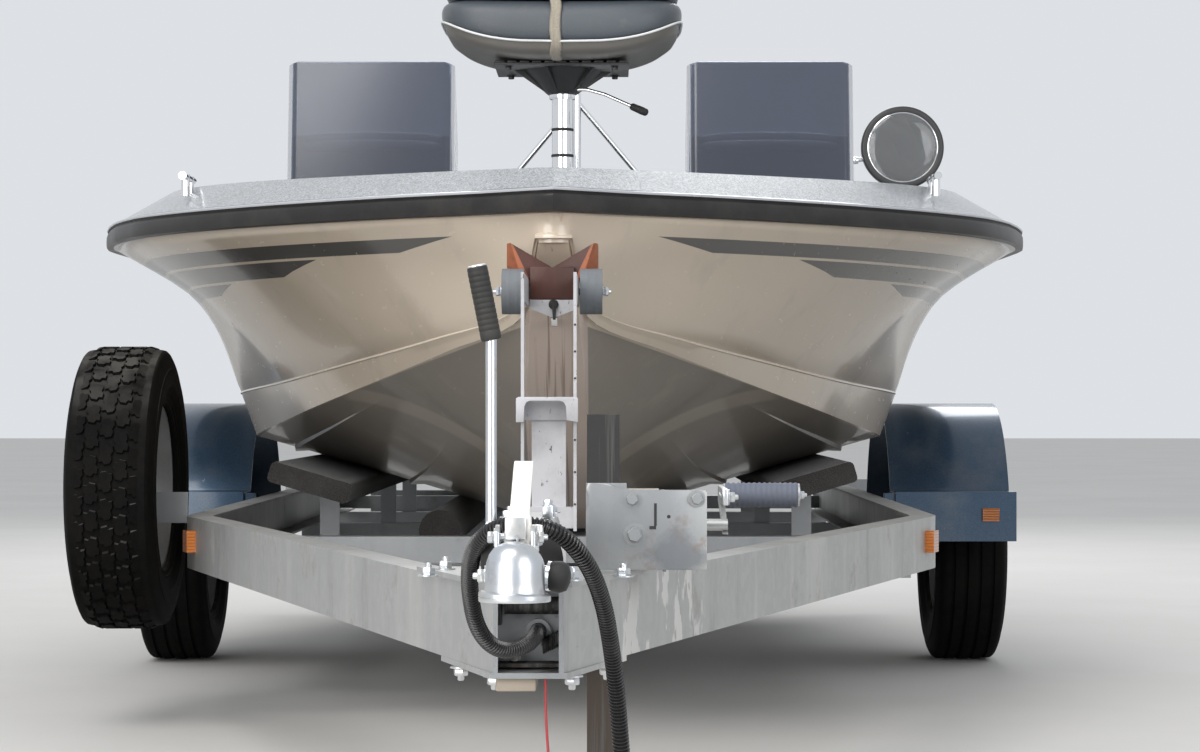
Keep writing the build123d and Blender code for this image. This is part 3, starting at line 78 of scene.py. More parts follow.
class Finish:
    """One procedural material, built up in layers over its object coordinates."""

    def __init__(self, name, color, roughness, metallic=0.0, **sockets):
        self.material = bpy.data.materials.new(name)
        self.material.use_nodes = True
        self.tree = self.material.node_tree
        self.shader = self.tree.nodes["Principled BSDF"]
        self.shader.inputs["Roughness"].default_value = roughness
        self.shader.inputs["Metallic"].default_value = metallic
        for socket, value in sockets.items():
            self.shader.inputs[socket.replace("_", " ")].default_value = value
        self.place = self.add("TexCoord").outputs["Object"]
        self.color = (*color, 1.0)
        self.rough = roughness
        self.height = None
        self.shader.inputs["Base Color"].default_value = self.color

    def add(self, kind, sockets=None, **settings):
        return add_node(self.tree, kind, sockets, **settings)

    def math(self, operation, a, b=0.0, c=0.0):
        return self.add("Math", {0: a, 1: b, 2: c}, operation=operation).outputs[0]

    def axis(self, letter):
        return self.add("SeparateXYZ", {0: self.place}).outputs[letter]

    def off(self, letter, middle=0.0):
        """Distance to either side of a plane across this axis."""
        return self.math("ABSOLUTE", self.math("SUBTRACT", self.axis(letter), middle))

    def facing(self, letter):
        """How far the surface faces along this axis, from -1 to 1."""
        normal = self.add("NewGeometry").outputs["Normal"]
        return self.add("SeparateXYZ", {0: normal}).outputs[letter]

    def stretched(self, scale):
        return self.add("Mapping", {"Vector": self.place, "Scale": scale}).outputs[0]

    def noise(self, scale, detail=4.0, rough=0.55, stretch=None):
        place = self.stretched(stretch) if stretch else self.place
        sockets = {"Vector": place, "Scale": scale, "Detail": detail, "Roughness": rough}
        return self.add("TexNoise", sockets).outputs[0]

    def cells(self, scale, feature="F1", output="Distance", stretch=None):
        place = self.stretched(stretch) if stretch else self.place
        return self.add("TexVoronoi", {"Vector": place, "Scale": scale}, feature=feature).outputs[output]

    def speckle(self, scale, channel=0):
        """A random level for each small cell."""
        return self.add("SeparateColor", {0: self.cells(scale, output="Color")}).outputs[channel]

    def ramp(self, value, low, high):
        return self.add("MapRange", {0: value, 1: low, 2: high, 3: 0.0, 4: 1.0}, clamp=True).outputs[0]

    def both(self, *masks):
        mask = masks[0]
        for other in masks[1:]:
            mask = self.math("MULTIPLY", mask, other)
        return mask

    def paint(self, mask, color, strength=1.0):
        """Lays a colour over what is there, where the mask is 1."""
        if strength != 1.0:
            mask = self.math("MULTIPLY", mask, strength)
        mix = self.add("Mix", {0: mask, 6: self.color, 7: (*color, 1.0)}, data_type="RGBA")
        self.color = mix.outputs[2]
        self.tree.links.new(self.color, self.shader.inputs["Base Color"])
        return mask

    def roughen(self, mask, roughness):
        mix = self.add("Mix", {0: mask, 2: self.rough, 3: roughness}, data_type="FLOAT")
        self.rough = mix.outputs[0]
        self.tree.links.new(self.rough, self.shader.inputs["Roughness"])

    def unmetal(self, mask, metallic):
        """Takes the metal out of the finish where the mask is 1."""
        mix = self.add("Mix", {0: mask, 2: metallic, 3: 0.0}, data_type="FLOAT")
        self.tree.links.new(mix.outputs[0], self.shader.inputs["Metallic"])

    def raise_by(self, height, distance, strength=1.0):
        bump = self.add("Bump", {"Height": height, "Distance": distance, "Strength": strength})
        if self.height is not None:
            self.tree.links.new(self.height, bump.inputs["Normal"])
        self.height = bump.outputs[0]
        self.tree.links.new(self.height, self.shader.inputs["Normal"])

    def soil(self, color, scale=6.0, low=0.5, high=0.75, strength=0.6, stretch=None, roughness=None):
        """Cloudy dirt or stains."""
        mask = self.ramp(self.noise(scale, 6.0, 0.62, stretch), low, high)
        mask = self.paint(mask, color, strength)
        if roughness is not None:
            self.roughen(mask, roughness)


class Kit:
    """Gathers the faces of one joined piece."""

    def __init__(self, name, finish, body="root", slot=None):
        self.name = name
        self.finish = finish
        self.body = body
        self.slot = slot
        self.mesh = bmesh.new()

    def faces(self, points, faces, bevel=0.0):
        verts = [self.mesh.verts.new(point) for point in points]
        made = [self.mesh.faces.new([verts[i] for i in face]) for face in faces]
        if bevel:
            edges = list(dict.fromkeys(edge for face in made for edge in face.edges))
            bmesh.ops.bevel(
                self.mesh, geom=edges, offset=bevel, segments=2, affect="EDGES", profile=0.5,
                clamp_overlap=True,
            )

    def box(self, low, high, bevel=0.0015):
        """Block between two corners."""
        (x0, y0, z0), (x1, y1, z1) = low, high
        points = [Vector((x, y, z)) for x in (x0, x1) for y in (y0, y1) for z in (z0, z1)]
        faces = [(0, 1, 3, 2), (4, 6, 7, 5), (0, 4, 5, 1), (2, 3, 7, 6), (0, 2, 6, 4), (1, 5, 7, 3)]
        self.faces(points, faces, bevel)

    def prism(self, outline, place, bevel=0.001):
        """Plate between two planes: place(u, v, w) gives the point at w 0 and w 1."""
        count = len(outline)
        points = [place(u, v, w) for w in (0, 1) for u, v in outline]
        sides = [(i, (i + 1) % count, count + (i + 1) % count, count + i) for i in range(count)]
        self.faces(points, [tuple(reversed(range(count))), tuple(range(count, 2 * count))] + sides, bevel)

    def rings(self, rings, closed=True, caps=True):
        """Skin over a row of rings with the same number of points."""
        rows = [[self.mesh.verts.new(point) for point in ring] for ring in rings]
        count = len(rows[0])
        last = count if closed else count - 1
        for row, following in zip(rows, rows[1:]):
            for i in range(last):
                j = (i + 1) % count
                self.mesh.faces.new((row[i], row[j], following[j], following[i]))
        if caps:
            self.mesh.faces.new(list(reversed(rows[0])))
            self.mesh.faces.new(rows[-1])

    def lathe(self, profile, origin, axis=(0, 0, 1), steps=32):
        """Turned form: (radius, distance along the axis) pairs."""
        axis = Vector(axis).normalized()
        side = axis.orthogonal().normalized()
        other = axis.cross(side)
        rings = []
        for radius, along in profile:
            centre = Vector(origin) + axis * along
            radius = max(radius, 0.00002)
            rings.append(
                [
                    centre + radius * (cos(2 * pi * i / steps) * side + sin(2 * pi * i / steps) * other)
                    for i in range(steps)
                ]
            )
        self.rings(rings)

    def bolt(self, point, normal=(0, 0, 1), size=0.012):
        """Hexagon head on its washer; size is the width across the head."""
        self.lathe(
            [(size * 0.85, 0), (size * 0.85, size * 0.12), (size * 0.5, size * 0.13)], point, normal, 20
        )
        top = Vector(point) + Vector(normal).normalized() * size * 0.12
        half = size / 2
        self.lathe([(half, 0), (half * 1.15, size * 0.1), (half * 1.15, size * 0.5), (half, size * 0.6)],
            top, normal, 6)

    def nut(self, point, normal=(0, 0, 1), size=0.012):
        """Nut with the end of its stud."""
        self.bolt(point, normal, size)
        self.lathe([(size * 0.28, 0), (size * 0.28, size), (size * 0.2, size * 1.1)], point, normal, 12)

    def tube(self, points, radius, steps=14):
        """Round bar along a few points; radius may be a list."""
        points = [Vector(point) for point in points]
        radii = radius if isinstance(radius, (list, tuple)) else [radius] * len(points)
        rings = []
        side = None
        for i, point in enumerate(points):
            along = (points[min(i + 1, len(points) - 1)] - points[max(i - 1, 0)]).normalized()
            side = along.orthogonal() if side is None else side - along * side.dot(along)
            side = side.normalized()
            other = along.cross(side)
            rings.append(
                [
                    point + radii[i] * (cos(2 * pi * k / steps) * side + sin(2 * pi * k / steps) * other)
                    for k in range(steps)
                ]
            )
        self.rings(rings)

    def done(self, smooth=35, subdivide=0, solidify=0.0, replaces=()):
        bmesh.ops.recalc_face_normals(self.mesh, faces=self.mesh.faces)
        data = bpy.data.meshes.new(self.name)
        self.mesh.to_mesh(data)
        self.mesh.free()
        piece = linked(self.name, data)
        data.materials.append(self.finish.material)
        shade(data, smooth)
        if solidify:
            shell = piece.modifiers.new("wall", "SOLIDIFY")
            shell.thickness = solidify
            shell.offset = -1
        if subdivide:
            smoother = piece.modifiers.new("smooth", "SUBSURF")
            smoother.levels = subdivide
            smoother.render_levels = subdivide
        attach(piece, self.body)
        if replaces:
            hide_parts(*replaces)
        return piece


def shade(data, angle):
    """Smooth shading, with edges over the angle kept sharp."""
    data.polygons.foreach_set("use_smooth", [True] * len(data.polygons))
    data.set_sharp_from_angle(angle=radians(angle))


def dress(name, finish, edge=0.0, angle=30):
    """Gives a CAD node its finish, and rounds its edges a little."""
    node = nodes[name]
    node.data.materials.clear()
    node.data.materials.append(finish.material)
    shade(node.data, angle)
    if edge:
        bevel = node.modifiers.new("edges", "BEVEL")
        bevel.width = edge
        bevel.segments = 2
        bevel.limit_method = "ANGLE"
        bevel.angle_limit = radians(42)
        bevel.use_clamp_overlap = True
        bevel.harden_normals = True


def curve_at(table, at):
    """Smooth curve through (position, value) pairs, without overshoot."""
    if at <= table[0][0]:
        return table[0][1]
    if at >= table[-1][0]:
        return table[-1][1]
    slopes = []
    for i in range(len(table)):
        if i in (0, len(table) - 1):
            near, far = (table[0], table[1]) if i == 0 else (table[-2], table[-1])
            slopes.append((far[1] - near[1]) / (far[0] - near[0]))
            continue
        before = (table[i][1] - table[i - 1][1]) / (table[i][0] - table[i - 1][0])
        after = (table[i + 1][1] - table[i][1]) / (table[i + 1][0] - table[i][0])
        slopes.append(0.0 if before * after <= 0 else 2 * before * after / (before + after))
    i = max(k for k in range(len(table) - 1) if table[k][0] <= at)
    (x0, y0), (x1, y1) = table[i], table[i + 1]
    t = (at - x0) / (x1 - x0)
    width = x1 - x0
    return (
        (2 * t**3 - 3 * t**2 + 1) * y0
        + (t**3 - 2 * t**2 + t) * width * slopes[i]
        + (3 * t**2 - 2 * t**3) * y1
        + (t**3 - t**2) * width * slopes[i + 1]
    )


# Plan of the rub rail's outer edge: (station, half breadth)
PLAN = [
    (0.0, 0.0), (0.050, 0.066), (0.126, 0.159), (0.256, 0.351), (0.410, 0.538), (0.571, 0.704),
    (0.766, 0.868), (0.980, 1.000), (1.300, 1.105), (1.667, 1.162), (3.300, 1.1413), (4.950, 1.120),
]


def half_breadth(station):
    return curve_at(PLAN, station)


# Finishes
def gelcoat_finish():
    """Beige gelcoat with the dark side stripes, chalky drips and rust below the bow. The bottom is painted
    dark as shade, with pale bands painted on it as reflections, and the keel pad is painted lighter as its
    lit face.
    """
    gel = Finish("hull_gelcoat", (0.66, 0.565, 0.45), 0.22, Coat_Weight=0.35, Coat_Roughness=0.08)
    clouds = gel.ramp(gel.noise(1.6, 3.0), 0.35, 0.7)
    gel.paint(clouds, (0.60, 0.515, 0.41), 0.5)
    # the bottom, inside the lower chines, is painted dark as shade, and is duller
    rise = gel.math("MULTIPLY_ADD", gel.off("X"), 0.325, gel.axis("Z"))
    shaded_bottom = gel.ramp(rise, KEEL_Z + 0.5035, KEEL_Z + 0.5015)
    gel.paint(shaded_bottom, (0.23, 0.205, 0.175), 0.9)
    gel.roughen(gel.math("MULTIPLY", shaded_bottom, 0.5), 0.5)
    # pale curved bands along the bottom, painted as reflections, placed as they show from the camera
    away = gel.math("SUBTRACT", gel.axis("Y"), CAMERA[1])
    short = gel.math("MULTIPLY_ADD", gel.math("DIVIDE", gel.off("X"), away), -3000.0, 216.0)
    bend = gel.math("MULTIPLY", short, gel.math("MULTIPLY_ADD", short, 0.001942, 0.1069))
    drop = gel.math("MULTIPLY_ADD", gel.math("DIVIDE", gel.math("SUBTRACT", gel.axis("Z"), CAMERA[2]),
            away), -3000.0, 12.0)
    painted_reflection = gel.ramp(gel.math("ABSOLUTE", gel.math("SUBTRACT", drop, bend)), 7.5, 5.0)
    painted_reflection = gel.both(painted_reflection, gel.ramp(short, -4.0, 6.0), gel.ramp(short, 175.0, 150.0), shaded_bottom)
    gel.paint(painted_reflection, (0.50, 0.44, 0.36), 0.55)
    drips = gel.ramp(gel.noise(9.0, 5.0, 0.6, (1.0, 1.0, 0.12)), 0.56, 0.72)
    gel.paint(drips, (0.42, 0.38, 0.31), 0.35)
    # stripes: top and bottom height, start at the bottom edge, slope of the pointed end
    height = gel.axis("Z")
    station = gel.math("SUBTRACT", gel.axis("Y"), BOW_Y)
    for top, bottom, start, slope in ((1.099, 1.071, 0.330, 4.3), (1.066, 1.034, 0.670, 4.7),
        (1.029, 1.006, 1.060, 6.0)):
        above = gel.ramp(height, bottom - 0.0004, bottom + 0.0004)
        below = gel.ramp(height, top + 0.0004, top - 0.0004)
        lean = gel.math("MULTIPLY", gel.math("SUBTRACT", height, bottom), slope)
        behind = gel.ramp(gel.math("ADD", station, lean), start - 0.001, start + 0.001)
        aft = gel.ramp(station, 4.949, 4.946)
        mask = gel.both(above, below, behind, aft)
        gel.paint(mask, (0.052, 0.055, 0.056), 0.93)
    # rust and scuffs at the stem; the keel pad is painted lighter, as painted light on its face
    middle = gel.ramp(gel.off("X"), 0.055, 0.012)
    pad = gel.ramp(gel.off("X"), 0.069, 0.066)
    below_eye = gel.ramp(height, 0.965, 0.935)
    # the keel pad below the eye is painted lighter, as painted light
    gel.paint(gel.both(pad, below_eye), (0.62, 0.51, 0.44), 0.9)
    drip = gel.noise(95.0, 2.0, 0.6, (1.0, 0.012, 0.03))
    drips = gel.both(gel.ramp(drip, 0.50, 0.60), gel.ramp(gel.off("X"), 0.045, 0.030), below_eye)
    gel.paint(drips, (0.25, 0.17, 0.12), 0.75)
    rust = gel.both(middle, gel.ramp(gel.noise(40.0, 6.0, 0.7, (1.0, 0.6, 0.5)), 0.60, 0.70),
                    gel.ramp(station, 0.35, 0.1))
    gel.paint(rust, (0.20, 0.105, 0.06), 0.6)
    gel.roughen(rust, 0.6)
    scuff = gel.ramp(gel.noise(60.0, 3.0, 0.7, (1.0, 0.15, 1.0)), 0.66, 0.72)
    gel.paint(scuff, (0.62, 0.58, 0.50), 0.25)
    gel.roughen(scuff, 0.45)
    gel.raise_by(gel.noise(3.0, 2.0), 0.004, 0.25)
    return gel


def flake_finish():
    """Silver gelcoat with metal flakes."""
    flake = Finish("flake_gelcoat", (0.29, 0.30, 0.31), 0.3, 0.25, Coat_Weight=0.4, Coat_Roughness=0.1)
    level = flake.speckle(520.0)
    flake.paint(flake.ramp(level, 0.5, 1.0), (0.60, 0.63, 0.66), 0.85)
    flake.paint(flake.ramp(level, 0.35, 0.0), (0.13, 0.14, 0.15), 0.8)
    coarse = flake.speckle(210.0, 1)
    flake.paint(flake.ramp(coarse, 0.72, 1.0), (0.58, 0.60, 0.62), 0.5)
    flake.soil((0.30, 0.29, 0.26), 4.0, 0.55, 0.8, 0.35, roughness=0.5)
    flake.raise_by(level, 0.0006, 0.35)
    return flake


def plain_finish(name, color, roughness, metallic=0.0, dirt=(0.10, 0.09, 0.08), amount=0.3, grain=300.0,
    depth=0.0004,
                 **sockets):
    """Moulded or painted surface with fine grain, fading and some dirt."""
    coat = Finish(name, color, roughness, metallic, **sockets)
    fade = tuple(min(1.0, 0.8 * channel + 0.04) for channel in color)
    coat.soil(fade, 2.3, 0.4, 0.75, 0.5)
    coat.soil(dirt, 11.0, 0.56, 0.8, amount, roughness=min(1.0, roughness + 0.25))
    coat.raise_by(coat.noise(grain, 3.0), depth, 0.5)
    return coat


def galvanised_finish():
    """Weathered zinc: spangle, drips, chalk and brown stains; faces turned forward are painted darker as
    shade.
    """
    zinc = Finish("galvanised", (0.44, 0.445, 0.44), 0.52, 0.45)
    spangle = zinc.speckle(55.0)
    zinc.paint(zinc.ramp(spangle, 0.4, 1.0), (0.52, 0.53, 0.53), 0.35)
    streak = zinc.noise(7.0, 6.0, 0.65, (1.0, 1.0, 0.18))
    zinc.paint(zinc.ramp(streak, 0.5, 0.68), (0.60, 0.60, 0.57), 0.6)
    zinc.paint(zinc.ramp(streak, 0.42, 0.30), (0.27, 0.265, 0.25), 0.55)
    stain = zinc.ramp(zinc.noise(5.0, 7.0, 0.7), 0.58, 0.74)
    zinc.paint(stain, (0.22, 0.17, 0.12), 0.5)
    zinc.roughen(stain, 0.8)
    zinc.unmetal(stain, 0.45)
    rust = zinc.ramp(zinc.noise(31.0, 6.0, 0.75), 0.66, 0.74)
    zinc.paint(rust, (0.23, 0.10, 0.045), 0.55)
    # flaked paint on the port rail, soot and rust at the corner of the winch's plate
    near = zinc.ramp(zinc.axis("Y"), -2.55, -2.75)
    flaked = zinc.ramp(zinc.noise(9.0, 5.0, 0.6, (1.0, 1.0, 0.45)), 0.515, 0.535)
    flaked = zinc.both(flaked, near, zinc.ramp(zinc.axis("X"), 0.10, 0.13),
        zinc.ramp(zinc.axis("Z"), 0.495, 0.488))
    zinc.paint(flaked, (0.74, 0.73, 0.70), 0.85)
    zinc.unmetal(flaked, 0.9)
    zinc.roughen(flaked, 0.65)
    reach = zinc.math("MULTIPLY_ADD", zinc.off("Z", 0.525), 1.1, zinc.off("X", 0.215))
    ragged = zinc.math("ADD", reach, zinc.math("MULTIPLY", zinc.noise(38.0, 5.0, 0.7), 0.05))
    front = zinc.ramp(zinc.axis("Y"), -3.10, -3.12)
    sooty = zinc.both(zinc.ramp(ragged, 0.085, 0.060), front)
    zinc.paint(sooty, (0.13, 0.145, 0.17), 0.6)
    rusted = zinc.both(zinc.ramp(zinc.noise(30.0, 6.0, 0.7), 0.52, 0.62), zinc.ramp(ragged, 0.115, 0.085),
        front)
    zinc.paint(rusted, (0.30, 0.19, 0.12), 0.6)
    # faces turned to the road are painted darker, as shade
    ahead = zinc.ramp(zinc.facing("Y"), -0.95, -0.99)
    zinc.paint(ahead, (0.20, 0.215, 0.235), 0.62)
    zinc.raise_by(zinc.noise(40.0, 6.0, 0.7), 0.0012, 0.35)
    return zinc


def bright_zinc_finish():
    """Bright zinc plate, a little yellowed and rusty."""
    zinc = Finish("zinc", (0.58, 0.61, 0.65), 0.30, 0.95)
    zinc.soil((0.66, 0.58, 0.38), 14.0, 0.45, 0.8, 0.5)
    zinc.soil((0.30, 0.27, 0.24), 24.0, 0.56, 0.74, 0.6, roughness=0.55)
    zinc.raise_by(zinc.noise(60.0, 5.0), 0.0008, 0.35)
    return zinc


def chrome_finish():
    chrome = Finish("chrome", (0.80, 0.81, 0.82), 0.07, 1.0)
    chrome.soil((0.45, 0.45, 0.44), 20.0, 0.55, 0.8, 0.4, roughness=0.3)
    return chrome


def rubber_finish(name, color, dust=0.25, rough=0.62):
    """Rubber with grey dust in it."""
    rubber = Finish(name, color, rough, Specular_IOR_Level=0.35)
    rubber.soil((0.12, 0.115, 0.10), 9.0, 0.45, 0.8, dust, roughness=0.85)
    rubber.raise_by(rubber.noise(260.0, 4.0), 0.0006, 0.4)
    return rubber


def tread_finish():
    """Near-black tyre rubber, with dust on what faces up."""
    tyre = Finish("tyre_rubber", (0.004, 0.004, 0.004), 0.75, Specular_IOR_Level=0.07)
    tyre.soil((0.020, 0.018, 0.016), 7.0, 0.4, 0.8, 0.35, roughness=0.85)
    tyre.soil((0.012, 0.011, 0.010), 45.0, 0.4, 0.7, 0.5)
    up = tyre.facing("Z")
    dusty = tyre.both(tyre.ramp(up, 0.45, 1.0), tyre.ramp(tyre.noise(16.0, 5.0), 0.3, 0.6))
    tyre.paint(dusty, (0.13, 0.125, 0.115), 0.7)
    tyre.raise_by(tyre.noise(320.0, 4.0, 0.7), 0.0008, 0.5)
    return tyre


def carpet_finish(name, color):
    """Short looped carpet."""
    carpet = Finish(name, color, 0.95, Sheen_Weight=0.25, Sheen_Roughness=0.5)
    tuft = carpet.cells(260.0)
    carpet.paint(carpet.ramp(tuft, 0.1, 0.55), tuple(0.45 * channel for channel in color), 0.8)
    carpet.soil(tuple(min(1, 1.7 * channel + 0.02) for channel in color), 5.0, 0.45, 0.8, 0.4)
    carpet.raise_by(carpet.math("MULTIPLY", tuft, -1.0), 0.003, 0.7)
    carpet.raise_by(carpet.noise(90.0, 5.0), 0.002, 0.4)
    return carpet


def vinyl_finish(name, color):
    """Marine vinyl with a fine leather grain."""
    vinyl = Finish(name, color, 0.36, Coat_Weight=0.15, Coat_Roughness=0.3)
    vinyl.soil(tuple(0.75 * channel for channel in color), 4.0, 0.45, 0.8, 0.45)
    vinyl.soil((0.22, 0.20, 0.17), 17.0, 0.6, 0.8, 0.3, roughness=0.6)
    crease = vinyl.cells(330.0, feature="DISTANCE_TO_EDGE")
    vinyl.raise_by(vinyl.ramp(crease, 0.0, 0.25), 0.0004, 0.6)
    vinyl.raise_by(vinyl.noise(14.0, 3.0), 0.003, 0.3)
    return vinyl


def webbing_finish():
    """Woven strap: ribs along it and a fine weave across."""
    web = Finish("strap_webbing", (0.44, 0.39, 0.31), 0.82, Sheen_Weight=0.2)
    ribs = web.add("TexWave", {"Vector": web.place, "Scale": 26.0, "Distortion": 0.4},
        bands_direction="X").outputs[1]
    web.paint(web.ramp(ribs, 0.2, 0.8), (0.36, 0.33, 0.28), 0.4)
    weave = web.cells(700.0, stretch=(1.0, 0.35, 0.35))
    web.paint(web.ramp(weave, 0.2, 0.6), (0.24, 0.21, 0.17), 0.5)
    web.soil((0.20, 0.17, 0.14), 9.0, 0.45, 0.75, 0.5)
    web.raise_by(ribs, 0.0012, 0.8)
    web.raise_by(weave, 0.0005, 0.6)
    return web


def rusty_finish():
    """Dark weathered steel, browner towards the foot: partly rust, partly painted light where the sun falls
    on the lower part.
    """
    steel = Finish("weathered_leg", (0.030, 0.031, 0.030), 0.72, 0.25)
    # the foot is painted a lighter brown: rust, and painted light of the sun on the lower leg
    steel.paint(steel.ramp(steel.axis("Z"), 0.40, 0.30), (0.085, 0.065, 0.05), 0.85)
    streak = steel.ramp(steel.noise(70.0, 4.0, 0.7, (1.0, 1.0, 0.025)), 0.48, 0.62)
    steel.paint(streak, (0.13, 0.13, 0.125), 0.75)
    rust = steel.both(steel.ramp(steel.noise(18.0, 7.0, 0.7, (1.0, 1.0, 0.3)), 0.56, 0.70),
                      steel.ramp(steel.axis("Z"), 0.5, 0.35))
    steel.paint(rust, (0.14, 0.06, 0.03), 0.7)
    steel.roughen(rust, 0.9)
    steel.raise_by(steel.noise(70.0, 6.0, 0.7), 0.0016, 0.6)
    return steel


def flake_paint(name, color, flake):
    """Metallic paint under clear lacquer, with scratches and dust."""
    paint = Finish(name, color, 0.28, 0.55, Coat_Weight=0.6, Coat_Roughness=0.1)
    level = paint.speckle(900.0)
    paint.paint(paint.ramp(level, 0.5, 1.0), flake, 0.5)
    paint.soil((0.16, 0.16, 0.155), 6.0, 0.5, 0.8, 0.35, roughness=0.6)
    scratch = paint.ramp(paint.noise(35.0, 4.0, 0.7, (1.0, 0.1, 1.0)), 0.68, 0.73)
    paint.paint(scratch, (0.30, 0.33, 0.36), 0.5)
    return paint


def lens_finish(name, color):
    """Ribbed lamp lens."""
    lens = Finish(name, color, 0.12, Transmission_Weight=0.35, IOR=1.49, Coat_Weight=0.3)
    ribs = lens.add("TexWave", {"Vector": lens.place, "Scale": 45.0}, bands_direction="Z").outputs[1]
    lens.paint(lens.ramp(ribs, 0.3, 0.0), tuple(0.5 * channel for channel in color), 0.5)
    lens.raise_by(ribs, 0.001, 0.7)
    return lens


def acrylic_finish():
    """Smoked blue-grey sheet that lets a little through, with dust."""
    sheet = Finish("smoked_acrylic", (0.115, 0.132, 0.178), 0.16, Transmission_Weight=0.60, IOR=1.49)
    sheet.soil((0.10, 0.115, 0.15), 8.0, 0.4, 0.8, 0.5, roughness=0.2)
    return sheet


def board_finish():
    """Stained board of the bow stop: dark red-brown, painted orange at its outer ends as the sunlit faces."""
    board = Finish("orange_pad", (0.075, 0.022, 0.014), 0.55)
    board.soil((0.030, 0.014, 0.010), 14.0, 0.4, 0.75, 0.7, (1.0, 1.0, 0.4))
    height = board.math("SUBTRACT", 1.068, board.axis("Z"))
    reach = board.math("MULTIPLY_ADD", height, 0.48, board.off("X"))
    # painted light: the outer ends are orange for the sun on those faces, mottled darker at random
    outer = board.both(board.ramp(reach, 0.0775, 0.0790), board.ramp(board.axis("Z"), 0.99, 1.0))
    board.paint(outer, (0.36, 0.11, 0.045), 0.95)
    worn = board.both(outer, board.ramp(board.noise(60.0, 5.0), 0.5, 0.7))
    board.paint(worn, (0.20, 0.07, 0.035), 0.8)
    board.raise_by(board.noise(70.0, 5.0, 0.7, (1.0, 1.0, 0.3)), 0.0015, 0.6)
    return board


def painted_steel():
    """White paint on steel, chipped to rust in spots."""
    paint = Finish("painted_steel", (0.50, 0.50, 0.52), 0.42)
    paint.soil((0.36, 0.36, 0.37), 16.0, 0.45, 0.7, 0.7)
    chip = paint.ramp(paint.noise(120.0, 4.0, 0.7, (1.0, 1.0, 0.45)), 0.64, 0.69)
    paint.paint(chip, (0.07, 0.045, 0.035), 0.9)
    paint.roughen(chip, 0.85)
    paint.raise_by(chip, -0.0006, 0.6)
    return paint


gelcoat = gelcoat_finish()
painted = painted_steel()
silver_flake = flake_finish()
galvanised = galvanised_finish()
bright_zinc = bright_zinc_finish()
chrome = chrome_finish()
rail_rubber = rubber_finish("rail_rubber", (0.018, 0.017, 0.017), 0.25, 0.38)
rail_insert = plain_finish("rail_insert", (0.55, 0.57, 0.60), 0.25, 0.3, grain=60.0)
black_rubber = rubber_finish("black_rubber", (0.02, 0.02, 0.02))
roller_rubber = rubber_finish("grey_roller", (0.16, 0.175, 0.19), 0.5)
tyre_rubber = tread_finish()
bunk_carpet = carpet_finish("bunk_carpet", (0.045, 0.042, 0.04))
deck_carpet = carpet_finish("deck_carpet", (0.15, 0.16, 0.175))
seat_vinyl = vinyl_finish("seat_vinyl", (0.070, 0.083, 0.097))
white_piping = plain_finish("white_piping", (0.72, 0.73, 0.72), 0.4)
seat_shell = plain_finish("seat_shell", (0.15, 0.14, 0.125), 0.45, grain=90.0)
webbing = webbing_finish()
leg_steel = rusty_finish()
fender_paint = flake_paint("fender_paint", (0.018, 0.045, 0.085), (0.06, 0.12, 0.19))
rim_paint = flake_paint("rim_paint", (0.45, 0.45, 0.45), (0.6, 0.6, 0.6))
motor_paint = flake_paint("motor_paint", (0.014, 0.014, 0.016), (0.05, 0.05, 0.055))
amber_lens = lens_finish("amber_lens", (0.75, 0.22, 0.02))
red_lens = lens_finish("red_lens", (0.42, 0.012, 0.010))
acrylic = acrylic_finish()
console_grey = plain_finish("console_grey", (0.085, 0.095, 0.115), 0.3, grain=200.0, Coat_Weight=0.3)
# the dash rolls are painted near white, as painted highlights on the console's top
dash_highlight_pad = plain_finish("dash_highlight_pad", (0.80, 0.84, 0.92), 0.20, grain=160.0, Coat_Weight=0.8)
tub_grey = plain_finish("tub_grey", (0.36, 0.37, 0.38), 0.5, grain=120.0)
black_plastic = plain_finish("black_plastic", (0.018, 0.018, 0.019), 0.42, dirt=(0.10, 0.095, 0.085))
hose_plastic = plain_finish("hose_plastic", (0.015, 0.015, 0.016), 0.24, dirt=(0.12, 0.115, 0.105),
    amount=0.4)
white_plastic = plain_finish("white_plastic", (0.75, 0.74, 0.71), 0.4)
beige_block = plain_finish("beige_block", (0.50, 0.43, 0.35), 0.8, grain=40.0, depth=0.002)
grip_rubber = rubber_finish("grip_rubber", (0.11, 0.125, 0.165), 0.35)
orange_pad = board_finish()
red_cable = plain_finish("red_cable", (0.42, 0.03, 0.035), 0.45)
glass = Finish("lamp_glass", (0.95, 0.97, 0.98), 0.03, Transmission_Weight=0.95, IOR=1.45)
glass.soil((0.85, 0.86, 0.86), 12.0, 0.5, 0.8, 0.3, roughness=0.15)
reflector = Finish("reflector", (0.95, 0.96, 0.96), 0.42, 0.35)
reflector.soil((0.7, 0.7, 0.7), 14.0, 0.4, 0.8, 0.4, roughness=0.25)

